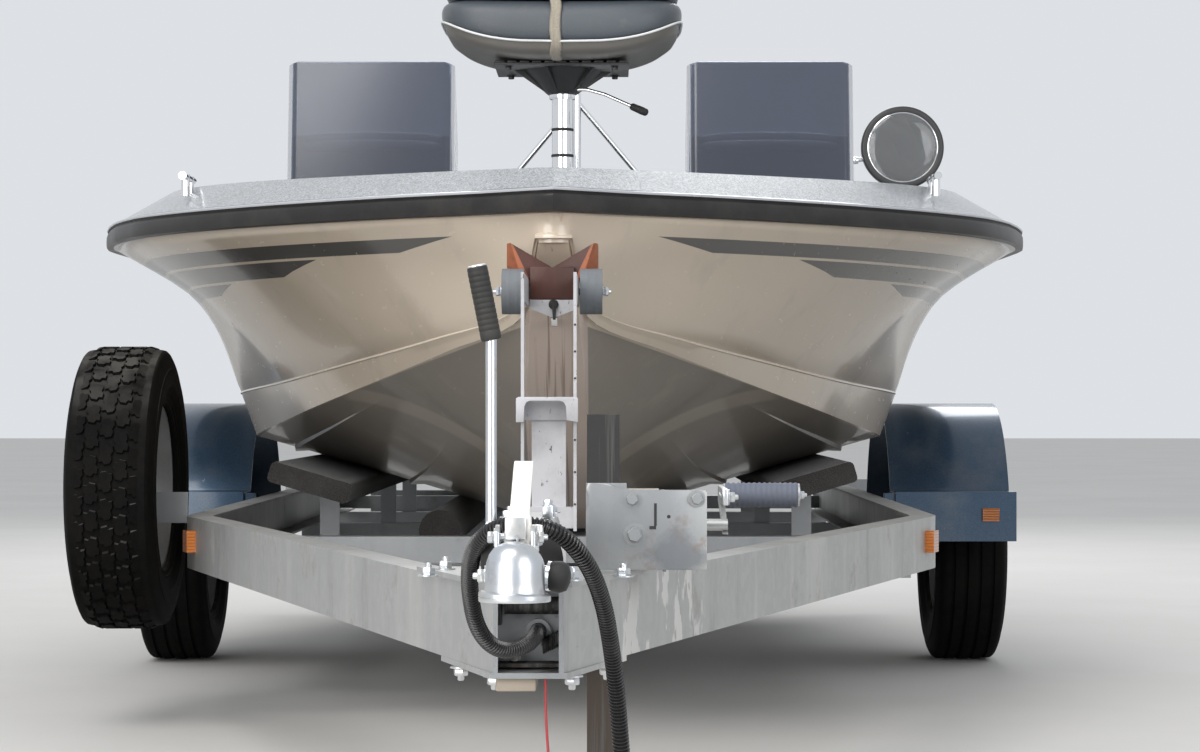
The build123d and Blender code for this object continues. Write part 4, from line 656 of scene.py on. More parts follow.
for name, finish, edge in (
    ("hull", gelcoat, 0.0), ("deck", silver_flake, 0.0), ("cockpit_tub", tub_grey, 0.004),
    ("motor_well", tub_grey, 0.004), ("bow_lid_left", deck_carpet, 0.004),
    ("bow_lid_right", deck_carpet, 0.004),
    ("aft_lid", deck_carpet, 0.004), ("consoles", console_grey, 0.008), ("windscreens", acrylic, 0.0015),
    ("steering_wheel", black_plastic, 0.002), ("helm_seats", seat_vinyl, 0.0),
    ("bow_pedestal", chrome, 0.001),
    ("bow_seat_mount", black_plastic, 0.002), ("tow_pylon", chrome, 0.001), ("searchlight", chrome, 0.001),
    ("cleats_and_eye", chrome, 0.002), ("motor_bracket", motor_paint, 0.004),
    ("motor_swivel", motor_paint, 0.004),
    ("motor_leg", motor_paint, 0.003), ("motor_cowl", motor_paint, 0.01), ("propeller", motor_paint, 0.002),
    ("frame_rails", galvanised, 0.002), ("frame_brackets", galvanised, 0.0015),
    ("crossbeams", galvanised, 0.002),
    ("rollers", roller_rubber, 0.006), ("bunks", bunk_carpet, 0.006), ("axle", galvanised, 0.003),
    ("rim_left", rim_paint, 0.0015), ("rim_right", rim_paint, 0.0015), ("rim_spare", rim_paint, 0.0015),
    ("fenders", fender_paint, 0.001), ("coupling_body", galvanised, 0.003),
    ("handbrake_lever", bright_zinc, 0.001),
    ("winch_frame", galvanised, 0.001), ("winch_drum", galvanised, 0.001), ("winch_strap", webbing, 0.0),
    ("winch_post", painted, 0.002), ("bow_stop", orange_pad, 0.006), ("parking_leg", leg_steel, 0.003),
    ("side_markers", amber_lens, 0.003), ("light_bar", galvanised, 0.003), ("tail_lamps", red_lens, 0.0),
    ("conduit", black_plastic, 0.0), ("conduit_plug", black_plastic, 0.001),
    ("breakaway_cable", red_cable, 0.0),
    ("cable_clip", bright_zinc, 0.0), ("coupling_head", bright_zinc, 0.002), ("rub_rail", rail_rubber, 0.004),
    ("tyre_left", tyre_rubber, 0.0), ("tyre_right", tyre_rubber, 0.0), ("tyre_spare", tyre_rubber, 0.0),
    ("bow_seat_pad", seat_vinyl, 0.0), ("bow_seat_back", seat_vinyl, 0.0),
):
    dress(name, finish, edge)


# Hull skin: station, then half width and height above the keel of the keel flat, the
# lower and the upper chine and the middle of the topside
HULL = [
    (0.060, 0.0300, 0.645, 0.0320, 0.652, 0.0340, 0.660, 0.0350, 0.680),
    (0.180, 0.0530, 0.493, 0.0680, 0.500, 0.0780, 0.516, 0.1280, 0.610),
    (0.400, 0.0650, 0.318, 0.2300, 0.434, 0.2500, 0.458, 0.3660, 0.598),
    (0.700, 0.0660, 0.158, 0.4020, 0.374, 0.4300, 0.418, 0.6280, 0.592),
    (1.275, 0.0610, 0.018, 0.6380, 0.298, 0.6800, 0.370, 0.8950, 0.586),
    (2.250, 0.0580, 0.000, 0.8490, 0.233, 0.8900, 0.345, 0.9930, 0.585),
    (4.950, 0.0580, 0.000, 0.8490, 0.233, 0.8860, 0.338, 0.9650, 0.578),
]


def hull_ring(station):
    """Half section of the hull from the keel up to the sheer, with strakes and chine flat."""
    kx, kz, ax, az, bx, bz, nx, nz = (curve_at([(row[0], row[i]) for row in HULL],
            station) for i in range(1, 9))
    top = SHEER_Z - KEEL_Z
    sx = max(half_breadth(station) - 0.0285, nx + 0.002)
    fade = min(1.0, max(0.0, (station - 0.85) / 1.1))
    edge = 0.009 * min(1.0, max(0.0, (station - 0.06) / 0.2))
    points = [(0.0, kz), (kx * 0.7, kz + 0.0003), (kx - 0.003, kz + 0.0008), (kx, kz + 0.0008 + edge)]
    hollow = 0.010 * max(0.0, min(1.0, (1.9 - station) / 0.8))
    for share, drop in (
        (0.08, 0), (0.20, 0), (0.32, 0), (0.42, 0), (0.465, 0.011), (0.470, 0.0115), (0.473, 0), (0.56, 0),
        (0.66, 0),
        (0.76, 0), (0.82, 0), (0.862, 0.011), (0.867, 0.0115), (0.870, 0), (0.92, 0), (0.96, 0),
    ):
        lift = hollow * sin(pi * share)
        rise = edge * (1 - share) + (az - kz) * share
        points.append((kx + (ax - kx) * share, kz + 0.0008 + rise + lift - drop * fade))
    lip = 0.004 * min(1.0, max(0.0, (station - 0.10) / 0.3))
    points += [(ax, az), (ax + (bx - ax) * 0.5, az + (bz - az) * 0.5), (bx, bz)]
    points += [(bx + lip * 0.8, bz + lip * 0.4), (bx + lip * 0.3, bz + lip * 1.6)]
    side = [(bz, bx), (nz, nx), (top, sx)]
    slim = max(0.0, min(1.0, (station - 0.15) / 0.5))
    for step in range(1, 15):
        height = bz + (top - bz) * step / 14
        points.append((curve_at(side, height) - 0.010 * slim * sin(pi * step / 14), height))
    points.append((sx, top))
    return points


stations = [0.060, 0.075, 0.095, 0.12, 0.15, 0.18, 0.215, 0.25, 0.29, 0.33, 0.37, 0.41, 0.46, 0.51, 0.56,
    0.62, 0.68]
stations += [0.75 + 0.07 * i for i in range(17)] + [2.0 + 0.14 * i for i in range(21)] + [4.87, 4.95]
skin = Kit("hull_skin", gelcoat, slot="hull_gelcoat")
rings = []
for station in stations:
    half = hull_ring(station)
    ring = [boat(-x, station, KEEL_Z + z) for x, z in reversed(half[1:])] + [boat(x, station,
            KEEL_Z + z) for x, z in half]
    rings.append(ring)
skin.rings(rings, closed=False, caps=False)
# rounded face of the stem, from side to side
STEM_TURN = radians(40)
front = rings[0]
count = len(front)
stem_rows = []
for i in range(count // 2 + 1):
    left, right = front[i], front[count - 1 - i]
    middle, half = (left + right) / 2, (right.x - left.x) / 2
    radius = half / sin(STEM_TURN)
    row = []
    for k in range(11):
        turn = STEM_TURN * (k / 5 - 1)
        reach = radius * (cos(turn) - cos(STEM_TURN))
        row.append(Vector((middle.x + radius * sin(turn), middle.y - reach, middle.z)))
    stem_rows.append(row)
skin.rings(stem_rows, closed=False, caps=False)
back = [(point.x, point.z) for point in rings[-1]]
notch = [(0.36, SHEER_Z), (0.36, 0.96), (-0.36, 0.96), (-0.36, SHEER_Z)]
outline = back + notch
skin.faces([boat(x, HULL_LENGTH, z) for x, z in outline], [tuple(range(len(outline)))])
bmesh.ops.remove_doubles(skin.mesh, verts=skin.mesh.verts, dist=0.0004)
skin.done(smooth=24, solidify=0.007, replaces=("hull",))


# Rub rail: black rubber body with a bright insert along its top
def rail_path():
    half = [i * 0.02 for i in range(1, 60)] + [1.2 + 0.1 * i for i in range(1, 38)] + [HULL_LENGTH]
    port = [(half_breadth(station), station) for station in half]
    return [(-x, station) for x, station in reversed(port)] + [(0.0, 0.0)] + port


def inward(path, inset):
    """The path drawn in from its outer edge, mitred at the bow."""
    drawn = []
    for i, (x, y) in enumerate(path):
        before = Vector(path[max(i - 1, 0)])
        after = Vector(path[min(i + 1, len(path) - 1)])
        here = Vector((x, y))
        first = (here - before).normalized() if i else (after - here).normalized()
        second = (after - here).normalized() if i < len(path) - 1 else first
        along = (first + second).normalized()
        normal = Vector((-along.y, along.x))
        if normal.dot(Vector((-x, 2.5 - y))) < 0:
            normal = -normal
        stretch = 1.0 / max(0.5, along.dot(first))
        drawn.append(here + normal * inset * stretch)
    return drawn


def swept_rail(name, finish, profile, slot, replaces=()):
    """Profile points are (distance in from the outer edge, height)."""
    path = rail_path()
    columns = [inward(path, inset) for inset, height in profile]
    kit = Kit(name, finish, slot=slot)
    rings = []
    for i in range(len(path)):
        rings.append([boat(column[i].x, column[i].y, height) for column,
                (inset, height) in zip(columns, profile)])
    kit.rings(rings)
    kit.done(smooth=40, replaces=replaces)


swept_rail(
    "rub_rail_body", rail_rubber,
    [
        (0.0265, 1.1385), (0.006, 1.1385), (0.002, 1.1405), (0.0004, 1.146), (0.0002, 1.158), (0.0008, 1.168),
        (0.003, 1.1745), (0.006, 1.1765), (0.006, 1.1785), (0.0035, 1.1790), (0.0030, 1.1800),
        (0.0055, 1.1815),
        (0.0065, 1.1885), (0.0100, 1.1895), (0.0265, 1.1897),
    ],
    "black_rubber", ("rub_rail",),
)
swept_rail(
    "rub_rail_insert", rail_insert,
    [(0.0060, 1.1812), (0.0022, 1.1818), (0.0012, 1.1840), (0.0018, 1.1868), (0.0050, 1.1882),
        (0.0066, 1.1880)],
    "grey_moulding",
)


# Bow seat: a rounded pad on a moulded shell, piping along the seam, a strap round it
SEAT_HALF_X = 0.283
SEAT_HALF_Y = 0.233
SEAT_CORNERS = (0.42, 0.46)
POLE_STATION = 1.150


def oval(count, power_x, power_y):
    """Points round an oval 1 from its middle to each side, squarer for lower powers."""
    points = []
    for i in range(count):
        c, s = cos(2 * pi * i / count), sin(2 * pi * i / count)
        x = abs(c) ** power_x * (1 if c > 0 else -1)
        y = abs(s) ** power_y * (1 if s > 0 else -1)
        points.append((x, y))
    return points


def cushion_rings(centre_y, half_width, half_depth, low, high, rise):
    """Rings of a soft pad; its underside and its seam rise towards both ends."""
    profile = [
        (0.50, 0.0), (0.78, 0.0), (0.90, 0.04), (0.965, 0.12), (0.99, 0.24), (1.0, 0.40), (1.0, 0.58),
        (0.985, 0.74),
        (0.95, 0.86), (0.88, 0.94), (0.76, 0.985), (0.50, 1.0),
    ]
    rings = []
    for share, level in profile:
        ring = []
        for u, v in oval(72, *SEAT_CORNERS):
            x, y = u * half_width * share, v * half_depth * share
            lift = rise * (abs(x) / half_width) ** 3.2
            ring.append((x, centre_y + y, low + lift * (1 - level * 0.75) + (high - low) * level))
        rings.append(ring)
    return rings


seat_y = BOW_Y + POLE_STATION - 0.010
pad = Kit("bow_seat_cushion", seat_vinyl, "bow_seat", "seat_vinyl")
pad.rings(cushion_rings(seat_y, SEAT_HALF_X, SEAT_HALF_Y, 1.577, 1.690, 0.055))
pad.done(smooth=60, subdivide=1, replaces=("bow_seat_pad",))
back = Kit("bow_seat_backrest", seat_vinyl, "bow_seat", "seat_vinyl")
back.rings(cushion_rings(seat_y, 0.279, 0.224, 1.6925, 1.790, 0.0))
back.done(smooth=60, subdivide=1, replaces=("bow_seat_back",))
shell = Kit("bow_seat_shell", seat_shell, "bow_seat", "black_plastic")
rings = []
for share, level in ((0.40, 0.0), (0.66, 0.0), (0.86, 0.10), (0.935, 0.30), (0.965, 0.62), (0.972, 1.0)):
    ring = []
    for u, v in oval(72, *SEAT_CORNERS):
        x, y = u * SEAT_HALF_X * share, v * SEAT_HALF_Y * share
        ring.append((x, seat_y + y, 1.5562 + 0.060 * (abs(x) / SEAT_HALF_X) ** 3.0 + 0.030 * level))
    rings.append(ring)
shell.rings(rings)
shell.done(smooth=60)
piping = Kit("bow_seat_piping", white_piping, "bow_seat", "seat_vinyl")
loop = []
for u, v in oval(96, *SEAT_CORNERS):
    x, y = u * (SEAT_HALF_X - 0.0005), v * (SEAT_HALF_Y - 0.0005)
    loop.append((x, seat_y + y, 1.5880 + 0.060 * (abs(x) / SEAT_HALF_X) ** 3.2))
piping.tube(loop + loop[:2], 0.0028, 8)
piping.done(smooth=60)

# strap round the seat
seat_strap = Kit("bow_seat_strap", webbing, "bow_seat", "strap_webbing")
front = seat_y - SEAT_HALF_Y
path = [
    (seat_y - 0.10, 1.5555), (front + 0.060, 1.556), (front + 0.030, 1.5585), (front + 0.008, 1.568),
    (front - 0.002, 1.585),
    (front - 0.0045, 1.61), (front - 0.0045, 1.65), (front - 0.001, 1.674), (front + 0.004, 1.688),
    (front + 0.003, 1.700),
    (front + 0.002, 1.72), (front + 0.004, 1.75), (front + 0.012, 1.778), (front + 0.030, 1.7895),
    (seat_y, 1.7925),
]
rings = []
for i, (y, z) in enumerate(path):
    ahead, behind = Vector(path[min(i + 1, len(path) - 1)]), Vector(path[max(i - 1, 0)])
    along = (ahead - behind).normalized()
    out = Vector((-along.y, along.x)) * 0.0016
    wide = 0.014 + 0.0015 * sin(9.0 * i)
    lean = 0.003 * sin(2.1 * i)
    rings.append(
        [
            (-0.012 + lean - wide, y - out.x, z - out.y), (-0.012 + lean + wide, y - out.x, z - out.y),
            (-0.012 + lean + wide, y + out.x, z + out.y), (-0.012 + lean - wide, y + out.x, z + out.y),
        ]
    )
seat_strap.rings(rings)
seat_strap.done(smooth=50, subdivide=1)

# mount under the seat: ribbed plates, cone, collar, lever; then the pedestal's fittings
pole = (0.0, BOW_Y + POLE_STATION)
plates = Kit("bow_seat_plates", black_plastic, "bow_seat", "black_plastic")
for i in range(11):
    x = -0.145 + 0.029 * i
    plates.box((x - 0.011, pole[1] - 0.138, 1.5500), (x + 0.011, pole[1] + 0.12, 1.5562), 0.002)
plates.box((-0.158, pole[1] - 0.141, 1.5455), (0.158, pole[1] + 0.13, 1.5508), 0.0015)
for side in (-1, 1):
    for y in (-0.11, 0.09):
        plates.bolt((side * 0.125, pole[1] + y, 1.5456), (0, 0, -1), 0.013)
plates.lathe([(0.0945, 1.5470), (0.088, 1.5390), (0.070, 1.5230), (0.050, 1.5030), (0.040, 1.4930),
        (0.034, 1.4885)],
             (pole[0], pole[1], 0.0), (0, 0, 1), 48)
for i in range(6):
    turn = Matrix.Rotation(i * pi / 3 + 0.2, 4, "Z")
    fin = [Vector((0.033, -0.003, 1.489)), Vector((0.033, 0.003, 1.489)), Vector((0.118, 0.003, 1.546)),
           Vector((0.118, -0.003, 1.546)), Vector((0.045, -0.003, 1.546)), Vector((0.045, 0.003, 1.546))]
    fin = [turn @ point + Vector((pole[0], pole[1], 0)) for point in fin]
    plates.faces(fin, [(0, 1, 2, 3), (0, 3, 4), (1, 5, 2), (2, 5, 4, 3), (0, 4, 5, 1)])
plates.done(smooth=40, replaces=("bow_seat_mount",))
lever = Kit("bow_seat_lever", chrome, "bow_seat", "chrome")
lever.lathe([(0.0305, 1.4780), (0.0305, 1.4800), (0.0315, 1.4805), (0.0315, 1.4883), (0.0300, 1.4890)],
    (pole[0], pole[1], 0), (0, 0, 1), 40)
lever.tube([(0.028, -0.492, 1.500), (0.060, -0.500, 1.4985), (0.100, -0.506, 1.487), (0.160, -0.512, 1.460),
        (0.168, -0.513, 1.456)],
           0.0042, 12)
lever.done(smooth=50)
grip = Kit("bow_seat_lever_grip", black_rubber, "bow_seat", "black_rubber")
grip.tube([(0.162, -0.5122, 1.459), (0.166, -0.5126, 1.457), (0.190, -0.515, 1.4465),
        (0.200, -0.516, 1.442), (0.203, -0.5163, 1.4407)],
          [0.006, 0.0085, 0.0095, 0.0085, 0.004], 16)
grip.done(smooth=60)
bands = Kit("pedestal_bands", black_rubber, slot="black_rubber")
for height in (1.402, 1.340):
    bands.lathe([(0.0251, 0.0), (0.0268, 0.001), (0.0268, 0.006), (0.0251, 0.007)],
        (pole[0], pole[1], height), (0, 0, 1), 40)
bands.box((-0.030, pole[1] - 0.034, 1.2655), (0.030, pole[1] - 0.024, 1.281), 0.002)
bands.done(smooth=40)
bolts = Kit("pedestal_bolts", chrome, slot="chrome")
for angle in (0.4, 1.2, 2.0, 2.8, 3.6, 4.4, 5.2, 6.0):
    bolts.bolt((pole[0] + 0.066 * cos(angle), pole[1] + 0.066 * sin(angle), 1.2790), (0, 0, 1), 0.011)
bolts.done(smooth=40)


# Helm seats: crowned cushions and leaning backrests between bolsters, on moulded shells
def pad_plan(u, v):
    """A point of the unit square, on a pad with soft corners and sides drawn in a little."""
    x = u * (1 - 0.16 * v ** 2 * abs(u)) * (1 - 0.020 * (1 - v ** 2))
    y = v * (1 - 0.16 * u ** 2 * abs(v)) * (1 - 0.020 * (1 - u ** 2))
    return x, y


def pillow(kit, place, half_x, half_y, half_z, crown, channels=()):
    """A sewn pad: two crowned faces that meet in a seam, with sunk channels across the upper one."""
    steps = 18
    points, index = [], {}
    for face in (1, -1):
        for i in range(steps + 1):
            for j in range(steps + 1):
                edge = i in (0, steps) or j in (0, steps)
                if edge and face < 0:
                    index[face, i, j] = index[1, i, j]
                    continue
                u, v = sin(pi * (i / steps - 0.5)), sin(pi * (j / steps - 0.5))
                x, y = pad_plan(u, v)
                z = 0.0
                if not edge:
                    z = (1 - abs(u) ** 7) ** 0.42 * (1 - abs(v) ** 7) ** 0.42 * half_z
                    z += crown * (1 - u * u) * (1 - v * v) * (1.0 if face > 0 else 0.0)
                    if face > 0:
                        z -= sum(0.007 * exp(-(((v - at) / 0.045) ** 2)) for at in channels)
                index[face, i, j] = len(points)
                points.append(place(x * half_x, y * half_y, z * face))
    faces = []
    for face in (1, -1):
        for i in range(steps):
            for j in range(steps):
                a, b = index[face, i, j], index[face, i + 1, j]
                c, d = index[face, i + 1, j + 1], index[face, i, j + 1]
                faces.append((a, b, c, d) if face > 0 else (d, c, b, a))
    kit.faces(points, faces)


def seam(kit, place, half_x, half_y, radius):
    """Piping along a pad's seam."""
    loop = []
    for k in range(66):
        turn = 2 * pi * k / 64
        u, v = cos(turn), sin(turn)
        reach = max(abs(u), abs(v))
        x, y = pad_plan(u / reach, v / reach)
        loop.append(place(x * half_x, y * half_y, 0.0))
    kit.tube(loop, radius, 8)


HELM_Y = BOW_Y + 3.330
SOLE_Z = 0.800
helm_pads = Kit("helm_seat_pads", seat_vinyl, slot="seat_vinyl")
helm_seams = Kit("helm_seat_piping", white_piping, slot="seat_vinyl")
helm_shells = Kit("helm_seat_shells", seat_shell, slot="black_plastic")
lean = Vector((0.0, 0.082, 0.270)).normalized()
ahead = Vector((0.0, -lean.z, lean.y))


def lying(x, y, z):
    """Places the points of a pad that lies flat about its middle."""
    return lambda u, v, w: Vector((x + u, HELM_Y + y + v, SOLE_Z + z + w))


def leaning(x, y, z):
    """Places the points of a pad that leans back about its middle."""
    return lambda u, v, w: Vector((x + u, HELM_Y + y, SOLE_Z + z)) + lean * v + ahead * w


for side in (-1, 1):
    centre = side * 0.420
    for place, half_y, half_z, channels in (
        (lying(centre, 0.142, 0.326), 0.168, 0.038, (-0.33, 0.33)),
        (leaning(centre, 0.414, 0.545), 0.148, 0.036, (-0.30, 0.36)),
    ):
        pillow(helm_pads, place, 0.160, half_y, half_z, 0.006, channels)
        seam(helm_seams, place, 0.160, half_y, 0.003)
    for edge in (-1, 1):
        bolster = centre + edge * 0.199
        pillow(helm_pads, lying(bolster, 0.140, 0.336), 0.039, 0.162, 0.046, 0.004)
        pillow(helm_pads, leaning(bolster, 0.411, 0.530), 0.039, 0.140, 0.041, 0.003)
    base = [(-0.024, 0.2505), (-0.032, 0.300), (-0.026, 0.312), (0.330, 0.312), (0.366, 0.400),
        (0.438, 0.664),
            (0.452, 0.690), (0.474, 0.684), (0.467, 0.560), (0.422, 0.335), (0.408, 0.2505)]
    helm_shells.prism(base, lambda u, v, w, at=centre: Vector((at + 0.2385 * (2 * w - 1), HELM_Y + u,
                SOLE_Z + v)), 0.008)
helm_pads.done(smooth=60, subdivide=1, replaces=("helm_seats",))
helm_seams.done(smooth=60)
helm_shells.done(smooth=40)


# Searchlight: bezel, dished reflector, the bulb's shield, clear lens
lamp = (0.813, BOW_Y + 1.170, 1.366)
bowl = Kit("lamp_reflector", reflector, slot="chrome")
bowl.lathe([(0.0850, 0.0045), (0.0838, 0.0060), (0.078, 0.0075), (0.060, 0.0082), (0.040, 0.0086),
        (0.014, 0.0088)],
           lamp, (0, 1, 0), 56)
bowl.done(smooth=70)
bezel = Kit("lamp_bezel", black_plastic, slot="black_plastic")
bezel.lathe(
    [
        (0.0835, 0.0030), (0.0835, 0.0006), (0.0860, -0.0006), (0.0945, -0.0008), (0.0975, 0.0010),
        (0.0988, 0.005),
        (0.0988, 0.0205), (0.0965, 0.0240), (0.0935, 0.0262),
    ],
    lamp, (0, 1, 0), 72,
)
bezel.done(smooth=50)
trim = Kit("lamp_trim", chrome, slot="chrome")
trim.lathe([(0.0815, 0.0045), (0.0815, 0.0005), (0.0825, -0.0002), (0.0838, 0.0002), (0.0840, 0.0030)],
    lamp, (0, 1, 0), 72)
trim.lathe([(0.0005, 0.0070), (0.022, 0.0068), (0.0245, 0.0060), (0.0245, 0.0048), (0.021, 0.0046),
        (0.0195, 0.0054), (0.0005, 0.0054)],
           lamp, (0, 1, 0), 40)
trim.tube([(lamp[0] - 0.105, lamp[1] + 0.03, lamp[2] - 0.028),
        (lamp[0] - 0.092, lamp[1] + 0.03, lamp[2] - 0.026)], 0.006, 12)
trim.lathe([(0.0035, 0.0), (0.0085, 0.001), (0.0095, 0.006), (0.0085, 0.011), (0.003, 0.012)],
           (lamp[0] - 0.116, lamp[1] + 0.03, lamp[2] - 0.030), (1, 0, 0.12), 20)
trim.done(smooth=50)
lens = Kit("lamp_lens", glass)
lens.lathe([(0.0835, 0.0030), (0.081, 0.0012), (0.060, -0.0002), (0.030, -0.0010), (0.0005, -0.0012)], lamp,
    (0, 1, 0), 64)
lens.done(smooth=70, solidify=0.0012)


# Tinted screens bent back at both sides, and the dash rolls behind them, painted pale as the highlights on
# the console's top
CONSOLE_X = 0.570


def screen(side):
    x0 = side * CONSOLE_X
    name = "port" if side > 0 else "starboard"
    sheet = Kit(f"screen_{name}", acrylic, slot="smoked_acrylic")
    y0, z0 = BOW_Y + 2.512, 1.3005
    rake = tan(radians(9))
    half, deep, corner = 0.238, 0.218, 0.030
    plan = [(x0 - half, y0 + deep)]
    for middle, first in ((x0 - half + corner, pi), (x0 + half - corner, 1.5 * pi)):
        for i in range(9):
            turn = first + (pi / 2) * i / 8
            plan.append((middle + corner * cos(turn), y0 + corner + corner * sin(turn)))
    plan.append((x0 + half, y0 + deep))
    inner = [(x0 + (x - x0) * 0.975, y + 0.006 if 0 < i < len(plan) - 1 else y) for i,
        (x, y) in enumerate(plan)]
    rows = []
    for step in range(13):
        ring = []
        for x, y in plan + list(reversed(inner)):
            reach = max(0.0, min(1.0, (y - y0 - 0.02) / (deep - 0.02)))
            full = 0.4395 - 0.018 * (abs(x - x0) / half) ** 6 - 0.21 * reach ** 1.4
            height = full * step / 12
            ring.append((x, y + rake * height, z0 + height))
        rows.append(ring)
    sheet.rings(rows)
    sheet.done(smooth=35, replaces=("windscreens",) if side < 0 else ())


for side in (-1, 1):
    screen(side)
    dash = Kit(f"dash_roll_{'port' if side > 0 else 'starboard'}", dash_highlight_pad, slot="grey_moulding")
    for station, z, deep, high in ((2.636, 1.5160, 0.030, 0.0215), (2.606, 1.4940, 0.038, 0.0190)):
        rows = []
        for i in range(25):
            t = -1 + 2 * i / 24
            full = max(0.05, (1 - abs(t) ** 7) ** 0.5)
            dip = 0.006 * t * t
            ring = []
            for k in range(20):
                turn = 2 * pi * k / 20
                back, up = deep * full * cos(turn), high * full * sin(turn)
                ring.append((side * CONSOLE_X + 0.206 * t, BOW_Y + station + back, z - dip + up))
            rows.append(ring)
        dash.rings(rows)
    dash.done(smooth=50)


# Tyres: interlocking blocks on the spare, plain ribs on the road wheels
def tyre(name, centre, replaces, blocks, body="root"):
    rubber = Kit(name, tyre_rubber, body, "tyre_rubber")
    side = [
        (0.192, 0.075), (0.1925, 0.083), (0.196, 0.087), (0.201, 0.0885), (0.206, 0.0885), (0.2075, 0.0905),
        (0.211, 0.0915), (0.214, 0.0910), (0.222, 0.0965), (0.236, 0.1005), (0.2375, 0.1013),
        (0.2390, 0.1008),
        (0.252, 0.1022), (0.264, 0.1024), (0.276, 0.1015), (0.2765, 0.1024), (0.2785, 0.1022),
        (0.2790, 0.1010),
        (0.290, 0.0985), (0.300, 0.0955), (0.3005, 0.0962), (0.304, 0.0955), (0.311, 0.0925), (0.317, 0.0895),
    ]
    if blocks:
        crown = [(0.3205, 0.0860), (0.3222, 0.078), (0.3230, 0.04), (0.3232, 0.0)]
    else:
        crown = [(0.3215, 0.0862), (0.3250, 0.0815), (0.3270, 0.0760)]
        for x in (0.0560, 0.0190):
            crown += [(0.3275, x + 0.0050), (0.3210, x + 0.0042), (0.3205, x), (0.3210, x - 0.0042),
                (0.3285, x - 0.0050)]
        crown += [(0.3296, 0.006), (0.3298, 0.0)]
    half = side + crown
    profile = [(radius, -across) for radius, across in half] + [(radius, across) for radius,
        across in reversed(half[:-1])]
    profile = profile + [(0.188, 0.070), (0.188, -0.070)]
    steps = 96
    rings = []
    for radius, across in profile:
        rings.append(
            [
                Vector(centre) + Vector((across, radius * cos(2 * pi * i / steps),
                        radius * sin(2 * pi * i / steps)))
                for i in range(steps)
            ]
        )
    rubber.rings(rings + rings[:1], caps=False)
    bmesh.ops.remove_doubles(rubber.mesh, verts=rubber.mesh.verts, dist=0.00002)

    def pad(across, turn, outline, low, high):
        """One tread block: the outline is (across, along), in metres on the tread."""
        base, top = [], []
        for u, v in outline:
            drop = 2.2 * max(0.0, abs(across + u) - 0.055) ** 2 / 0.03
            for radius, share, ring in ((low, 1.0, base), (high, 0.90, top)):
                r = radius - drop * 0.30
                angle = turn + v * share / 0.33
                ring.append(Vector(centre) + Vector((across + u * share, r * cos(angle), r * sin(angle))))
        count = len(outline)
        walls = [(i, (i + 1) % count, count + (i + 1) % count, count + i) for i in range(count)]
        rubber.faces(base + top, [tuple(range(count, 2 * count))] + walls)

    if blocks:
        around = 33
        bone = [
            (-0.0155, -0.012), (-0.0120, -0.023), (0.0020, -0.0265), (0.0075, -0.0190), (0.0165, -0.0210),
            (0.0180, -0.006),
            (0.0125, 0.002), (0.0155, 0.013), (0.0110, 0.0235), (-0.0030, 0.0265), (-0.0080, 0.0185),
            (-0.0165, 0.0200),
            (-0.0180, 0.006), (-0.0125, -0.002),
        ]
        for row, across in enumerate((-0.0665, -0.0333, 0.0, 0.0333, 0.0665)):
            for i in range(around):
                turn = 2 * pi * (i + (0.5 if row % 2 else 0.0) + 0.08 * row) / around
                outline = [(-u, v) for u, v in reversed(bone)] if row % 2 else bone
                pad(across, turn, outline, 0.3215, 0.3300)
        for side_sign in (-1, 1):
            for i in range(around):
                turn = 2 * pi * (i + 0.3) / around
                lug = [(-0.005, -0.021), (0.006, -0.023), (0.0085, 0.018), (-0.005, 0.020)]
                pad(side_sign * 0.0895, turn, lug, 0.3140, 0.3225)
    else:
        for side_sign in (-1, 1):
            for i in range(66):
                turn = 2 * pi * i / 66
                lug = [(-0.0075, -0.0125), (0.0075, -0.0125), (0.0075, 0.0125), (-0.0075, 0.0125)]
                pad(side_sign * 0.0850, turn, lug, 0.3190, 0.3262)
    rubber.done(smooth=32, replaces=replaces)


tyre("spare_tyre_rubber", (-1.015, NOSE_Y + 2.800, 0.557), ("tyre_spare",), True)
tyre("left_tyre_rubber", (-1.150, 1.260, 0.330), ("tyre_left",), False, "wheel_left")
tyre("right_tyre_rubber", (1.150, 1.260, 0.330), ("tyre_right",), False, "wheel_right")


# Coupling head: pressed bell with its lip, ears, latch and bright handle
SHAFT_Z = 0.545
ball_y = -0.595
bell = Kit("coupling_bell", bright_zinc, slot="zinc")
bell.lathe(
    [
        (0.0150, 0.5600), (0.0235, 0.5560), (0.0250, 0.5480), (0.0250, 0.5125), (0.0270, 0.5118),
        (0.0350, 0.5118),
        (0.0435, 0.5120), (0.0440, 0.5135), (0.0440, 0.5175), (0.0425, 0.5190), (0.0390, 0.5205),
        (0.0372, 0.5245),
        (0.0364, 0.5350), (0.0358, 0.5480), (0.0345, 0.5590), (0.0310, 0.5690), (0.0255, 0.5765),
        (0.0180, 0.5815),
        (0.0090, 0.5840), (0.0005, 0.5848),
    ],
    trailer(0, ball_y, 0), (0, 0, 1), 56,
)
rings = []
for station, wide, low, high in (
    (-0.5955, 0.0345, 0.5210, 0.5740), (-0.575, 0.0345, 0.5170, 0.5770), (-0.555, 0.0325, 0.5160, 0.5780),
    (-0.535, 0.0305, 0.5155, 0.5765), (-0.515, 0.0300, 0.5150, 0.5755), (-0.498, 0.0318, 0.5135, 0.5765),
):
    middle, tall = (low + high) / 2, high - low
    rings.append([trailer(u * wide, station, middle + v * tall / 2) for u, v in oval(28, 0.75, 0.75)])
bell.rings(rings)
